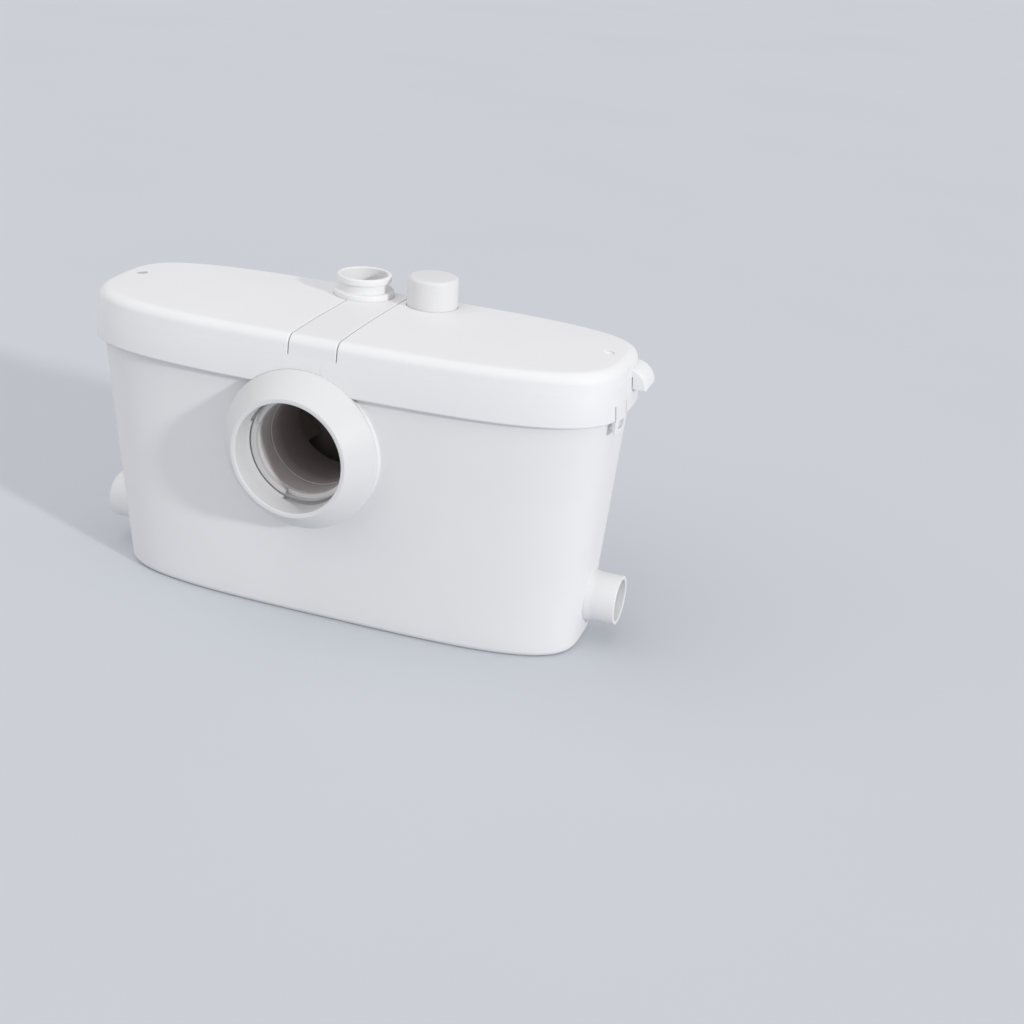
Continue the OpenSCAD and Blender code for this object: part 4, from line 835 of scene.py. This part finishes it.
def buildNotchedRing():
    # flat ring whose inner radius steps back between the tabs, with eased front edges and a groove round it
    s = notched
    front, ease = collar["ringBack"], s["ease"]
    angle = np.linspace(0, 2 * np.pi, 720, endpoint=False)
    away = [np.abs((np.degrees(angle) - (a + b) / 2 + 180) % 360 - 180) - (b - a) / 2
            for a, b in collar["tabs"]]
    inner = s["innerR"] + s["stepBack"] * np.clip(np.min(away, 0) / s["slope"] + 0.5, 0, 1)
    edge = np.array([(0, s["back"]), (0, front - ease), (ease / 4, front - ease / 4), (ease, front)])
    outer, groove = collar["sleeveR"] - s["fit"], front - s["grooveD"]
    seat = np.array([(s["grooveR"] - ease, front), (s["grooveR"], front - ease), (s["grooveR"], groove),
                     (outer, groove), (outer, s["back"])])
    r = np.vstack([inner + edge[:, :1], seat[:, :1] + 0 * angle])
    y = -np.r_[edge[:, 1:], seat[:, 1:]] + 0 * angle
    x, _, z = places["inlet"]
    grid = np.stack([x + r * np.cos(angle), y, z + r * np.sin(angle)], -1)
    ring = makePiece("notched_ring", shellOf(grid, loopRows=True, loopCols=True))
    return dress(ring, "ringGrey", "case", "light_plastic", "inlet_inner_ring", crease=30)


def buildPortRing():
    # pale flat ring behind the notched one: a rounded section turned about the bore
    s = port
    section = rounded([(s["outerR"], s["front"]), (s["outerR"], s["back"]), (s["innerR"], s["back"]),
                       (s["innerR"], s["front"])], s["rounds"], steps=5)
    ring = makePiece("port_ring", turned(section, "y", places["inlet"], count=192))
    return dress(ring, "portGrey", "case", "light_plastic")


def buildDuctLining():
    # dark lining with one shallow step that narrows with depth: its section turned about the bore
    s = lining
    line = [(s["outerR"], ductMouth), (s["outerR"], ductEnd), (s["endR"], ductEnd),
            *zip(s["stepR"], s["step"]), (s["mouthR"][0], ductMouth - s["mouthD"]),
            (s["mouthR"][1], ductMouth)]
    section = turned(rounded(line, s["rounds"], steps=5), "y", places["inlet"], count=192)
    piece = makePiece("duct_lining", section)
    return dress(piece, "ductGrey", "case", "dark_plastic")


buildCollar()
buildNotchedRing()
buildPortRing()
buildDuctLining()


# Top connections: discharge neck with its lip, groove and foot, and the cap of the top inlet

neck = {
    "bore": 22, "outer": 26, "foot": 28.5, "groove": 23.6, "top": 304.5, "lip": 6.5, "grooveH": 8,
    "shoulder": 280, "flange": (256.5, 260), "boreLow": 261.5, "bodyR": 24.4, "roomR": 21.4,
    "floor": (235.5, 239.5), "tailR": 12, "tailBore": 9.5, "tailLow": 213.5,
    "rounds": (0.5, 0.4, 0.4, 0.6, 0.5, 0.4, 0, 0.4, 0.4, 0.4, 0, 0.3, 1.6, 1, 1, 1.3, 1.5, 1.1, 0.3, 0.3),
    "lugX": (-19.4, -14.6), "lugY": 6.65, "lugHalf": 1.25, "lugZ": (239, 245.5), "lugRound": 0.4,  # pin lugs
}
capForm = {"radius": 24, "taper": 0.35, "inner": 20.4, "low": 262, "top": 312.5, "thick": 3,
           "rounds": (0.3, 0.5, 3.2, 0, 0, 0.8)}


def buildNeck():
    # section turned about the neck: hose tail, valve room, flange, foot, groove and lip, and two lugs inside
    s = neck
    lipLow = s["top"] - s["lip"]
    footTop = lipLow - s["grooveH"]
    (floorLow, floorTop), (flangeLow, flangeTop) = s["floor"], s["flange"]
    line = [(s["roomR"], floorTop), (s["tailBore"], floorTop), (s["tailBore"], s["tailLow"]),
            (s["tailR"], s["tailLow"]), (s["tailR"], floorLow), (s["bodyR"], floorLow),
            (s["bodyR"], flangeLow), (s["foot"], flangeLow), (s["foot"], flangeTop), (s["outer"], flangeTop),
            (s["outer"], s["shoulder"]), (s["foot"], s["shoulder"]), (s["foot"], footTop),
            (s["groove"], footTop), (s["groove"], lipLow), (s["outer"], lipLow), (s["outer"], s["top"]),
            (s["bore"], s["top"]), (s["bore"], s["boreLow"]), (s["roomR"], s["boreLow"])]
    shell = turned(rounded(line, s["rounds"], steps=7), "z", places["neck"], count=160)
    x, y, _ = places["neck"]
    (x0, x1), (low, high), half = s["lugX"], s["lugZ"], s["lugHalf"]
    middles = (y - s["lugY"], y + s["lugY"])
    lugs = [roundedBlock((x + x0, v - half, low), (x + x1, v + half, high), s["lugRound"]) for v in middles]
    piece = makePiece("turned_neck", shell, *lugs)
    return dress(piece, "caseWhite", "case", "white_abs", "discharge_neck", crease=40)


def buildCap():
    # closed cup: its slightly tapered section turned about the spigot
    s = capForm
    under = s["top"] - s["thick"]
    line = [(s["inner"], s["low"]), (s["radius"], s["low"]), (s["radius"] - s["taper"], s["top"]),
            (0, s["top"]), (0, under), (s["inner"], under)]
    section = turned(rounded(line, s["rounds"], steps=8), "z", places["cap"], count=160)
    piece = makePiece("round_cap", section)
    # the cap's darker white is painted shade
    return dress(piece, "capShadedWhite", "inlet_cap", "white_abs", "top_inlet_cap", crease=40)


buildNeck()
buildCap()


# Lid screws: domed heads with a cross recess, and the plugs over them

screw = {
    "headR": 4.3, "low": 274, "headH": 3, "rimH": 1.1, "shankR": 2, "end": 258.5, "tipIn": 0.6, "tipH": 1.2,
    "crossW": 1.1, "crossL": 4.6, "crossD": 1.6, "cutSpare": 2,
}
plug = {"radius": 4.95, "low": 280.6, "rim": 283.2, "dishR": (3.6, 2.4), "dish": (282.5, 282.4),
        "rounds": (0, 0.3, 0.5, 0.4, 0.8, 0)}


def buildScrew(side):
    # shank with a tapered tip and a head whose dome is a quarter ellipse, turned about its axis
    s = screw
    name = "left" if side < 0 else "right"
    x, top = side * places["screwX"], s["low"] + s["headH"]
    turn = np.linspace(0, np.pi / 2, 9)
    dome = np.c_[s["headR"] * np.cos(turn), s["low"] + s["rimH"] + (s["headH"] - s["rimH"]) * np.sin(turn)]
    shank = [(0, s["end"]), (s["shankR"] - s["tipIn"], s["end"]), (s["shankR"], s["end"] + s["tipH"]),
             (s["shankR"], s["low"]), (s["headR"], s["low"])]
    body = makePiece("screw_body", turned(np.vstack([shank, dome]), "z", (x, 0, 0), count=64, closed=False))
    wide, long, low, high = s["crossW"] / 2, s["crossL"] / 2, top - s["crossD"], top + s["cutSpare"]
    carve(body, makePiece("cut_a", block((x - long, -wide, low), (x + long, wide, high))),
          makePiece("cut_b", block((x - wide, -long, low), (x + wide, long, high))))
    body.name = f"{name}_cross_screw"
    return dress(body, "steel", f"{name}_lid", "steel", f"{name}_lid_screw")


def buildPlug(side):
    # press-in plug over the screw: a shallow dish just under the lid's face, turned about the screw
    s = plug
    name = "left" if side < 0 else "right"
    (outR, inR), (outZ, inZ) = s["dishR"], s["dish"]
    line = rounded([(0, s["low"]), (s["radius"], s["low"]), (s["radius"], s["rim"]), (outR, s["rim"]),
                    (inR, outZ), (0, inZ)], s["rounds"], steps=5, closed=False)
    section = turned(line, "z", (side * places["screwX"], 0, 0), count=64, closed=False)
    # the left plug takes a grey copy of the lid white as painted shade in its recess, the right one keeps the
    # lid white
    finish = "plugShadeGrey" if side < 0 else "lidWhite"
    return dress(makePiece(f"{name}_recess_plug", section), finish, f"{name}_lid", "lid_abs")


for side in (-1, 1):
    buildScrew(side)
    buildPlug(side)


# CAD nodes that stay, each with its finish

keptNodes = {
    "paleGrey": ("left_check_valve", "right_check_valve", "level_module", "membrane_cover", "well_frame",
                 "terminal_block"),
    "caseWhite": ("top_inlet_spigot",),
    "deepBrown": ("inlet_chute",),
    "darkGrey": ("grinder_basket", "volute_housing", "suction_plate", "pump_cradle", "microswitch",
                 "cable_gland"),
    "rubber": ("casing_seal", "collar_seal", "left_flap", "right_flap", "discharge_flap", "discharge_hose",
               "shaft_seal", "module_o_ring", "bell_seal", "membrane", "cable_plugs"),
    "steel": ("left_flap_pin", "right_flap_pin", "discharge_flap_pin", "lower_hose_clamp", "upper_hose_clamp",
              "cutter_blades", "blade_nut", "motor_shaft", "front_bearing", "rear_bearing", "well_screws"),
    "nylon": ("impeller",),
    "motorPaint": ("motor_housing", "motor_end_cap"),
    "corePlates": ("stator", "rotor_core"),
    "smoked": ("well_window",),
    "can": ("capacitor",),
}
for finish, names in keptNodes.items():
    for name in names:
        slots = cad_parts[name].data.materials
        slots.clear()
        slots.append(finishes[finish])
print("kept nodes:", sum(len(names) for names in keptNodes.values()))


# Stage: floor, lamps, world and camera

stage = {
    "floorHalf": 30000, "floorZ": -0.3, "floorPoints": 13,
    "floorTone": (0.60, 0.625, 0.66), "floorShade": (0.59, 0.615, 0.65), "floorRough": 0.85,
    "floorSpecular": 0.15, "lampDistance": 3,
    "world": (0.975, 0.975, 1.0), "worldStrength": 0.6,
}
lamps = [
    # name, direction towards the lamp, strength in W/m2, width in degrees
    ("keyRight", (0.86, -0.39, 0.33), 1.5, 4),
    ("softLeft", (-0.35, -0.3, 0.89), 0.95, 80),
]
view = {
    "target": (0.15524, 0.0, 0.11459), "azimuth": 17.0, "elevation": 24.0, "roll": 4.5, "distance": 1.4,
    "lens": 52.73, "sensor": 36, "farthest": 100,
}


def buildFloor():
    # level grid with a slow tone change so that it is not one flat colour
    u = np.linspace(-stage["floorHalf"], stage["floorHalf"], stage["floorPoints"])
    x, y = np.meshgrid(u, u)
    points, quads, _ = shellOf(np.stack([x, y, np.full_like(x, stage["floorZ"])], -1))
    mesh = bpy.data.meshes.new("floor")
    mesh.from_pydata((points * mm).tolist(), [], quads.tolist())
    floor = bpy.data.objects.new("floor", mesh)
    bpy.context.scene.collection.objects.link(floor)
    finish, tree, shader = newFinish("floor_paint")
    slow = noiseField(tree, scale=1.5)
    colour = rampBetween(tree, slow, [(0.35, stage["floorShade"]), (0.65, stage["floorTone"])])
    tree.links.new(colour, shader.inputs["Base Color"])
    shader.inputs["Roughness"].default_value = stage["floorRough"]
    shader.inputs["Specular IOR Level"].default_value = stage["floorSpecular"]
    mesh.materials.append(finish)


def buildLamps():
    for name, towards, strength, width in lamps:
        lamp = bpy.data.lights.new(name, "SUN")
        lamp.energy, lamp.angle = strength, np.radians(width)
        holder = bpy.data.objects.new(name, lamp)
        holder.location = Vector(towards) * stage["lampDistance"]
        holder.rotation_euler = Vector(towards).to_track_quat("Z", "Y").to_euler()
        bpy.context.scene.collection.objects.link(holder)
    world = bpy.data.worlds.new("studio")
    world.use_nodes = True
    sky = world.node_tree.nodes["Background"]
    sky.inputs["Color"].default_value = (*stage["world"], 1)
    sky.inputs["Strength"].default_value = stage["worldStrength"]
    bpy.context.scene.world = world


def buildCamera():
    # position from azimuth and elevation about the target, then a small roll about the line of sight
    az, el, roll = np.radians([view["azimuth"], view["elevation"], view["roll"]])
    back = np.array([np.sin(az) * np.cos(el), -np.cos(az) * np.cos(el), np.sin(el)])
    right = np.cross(-back, [0, 0, 1])
    right /= np.linalg.norm(right)
    up = np.cross(right, -back)
    right, up = right * np.cos(roll) + up * np.sin(roll), up * np.cos(roll) - right * np.sin(roll)
    place = np.array(view["target"]) + back * view["distance"]
    lens = bpy.data.cameras.new("camera")
    lens.lens, lens.sensor_width, lens.clip_end = view["lens"], view["sensor"], view["farthest"]
    holder = bpy.data.objects.new("camera", lens)
    pose = np.eye(4)
    pose[:3, 0], pose[:3, 1], pose[:3, 2], pose[:3, 3] = right, up, back, place
    holder.matrix_world = Matrix(pose.tolist())
    bpy.context.scene.collection.objects.link(holder)
    bpy.context.scene.camera = holder


buildFloor()
buildLamps()
buildCamera()
bpy.context.scene.view_settings.view_transform = "Standard"
print("stage: floor, lamps and camera")
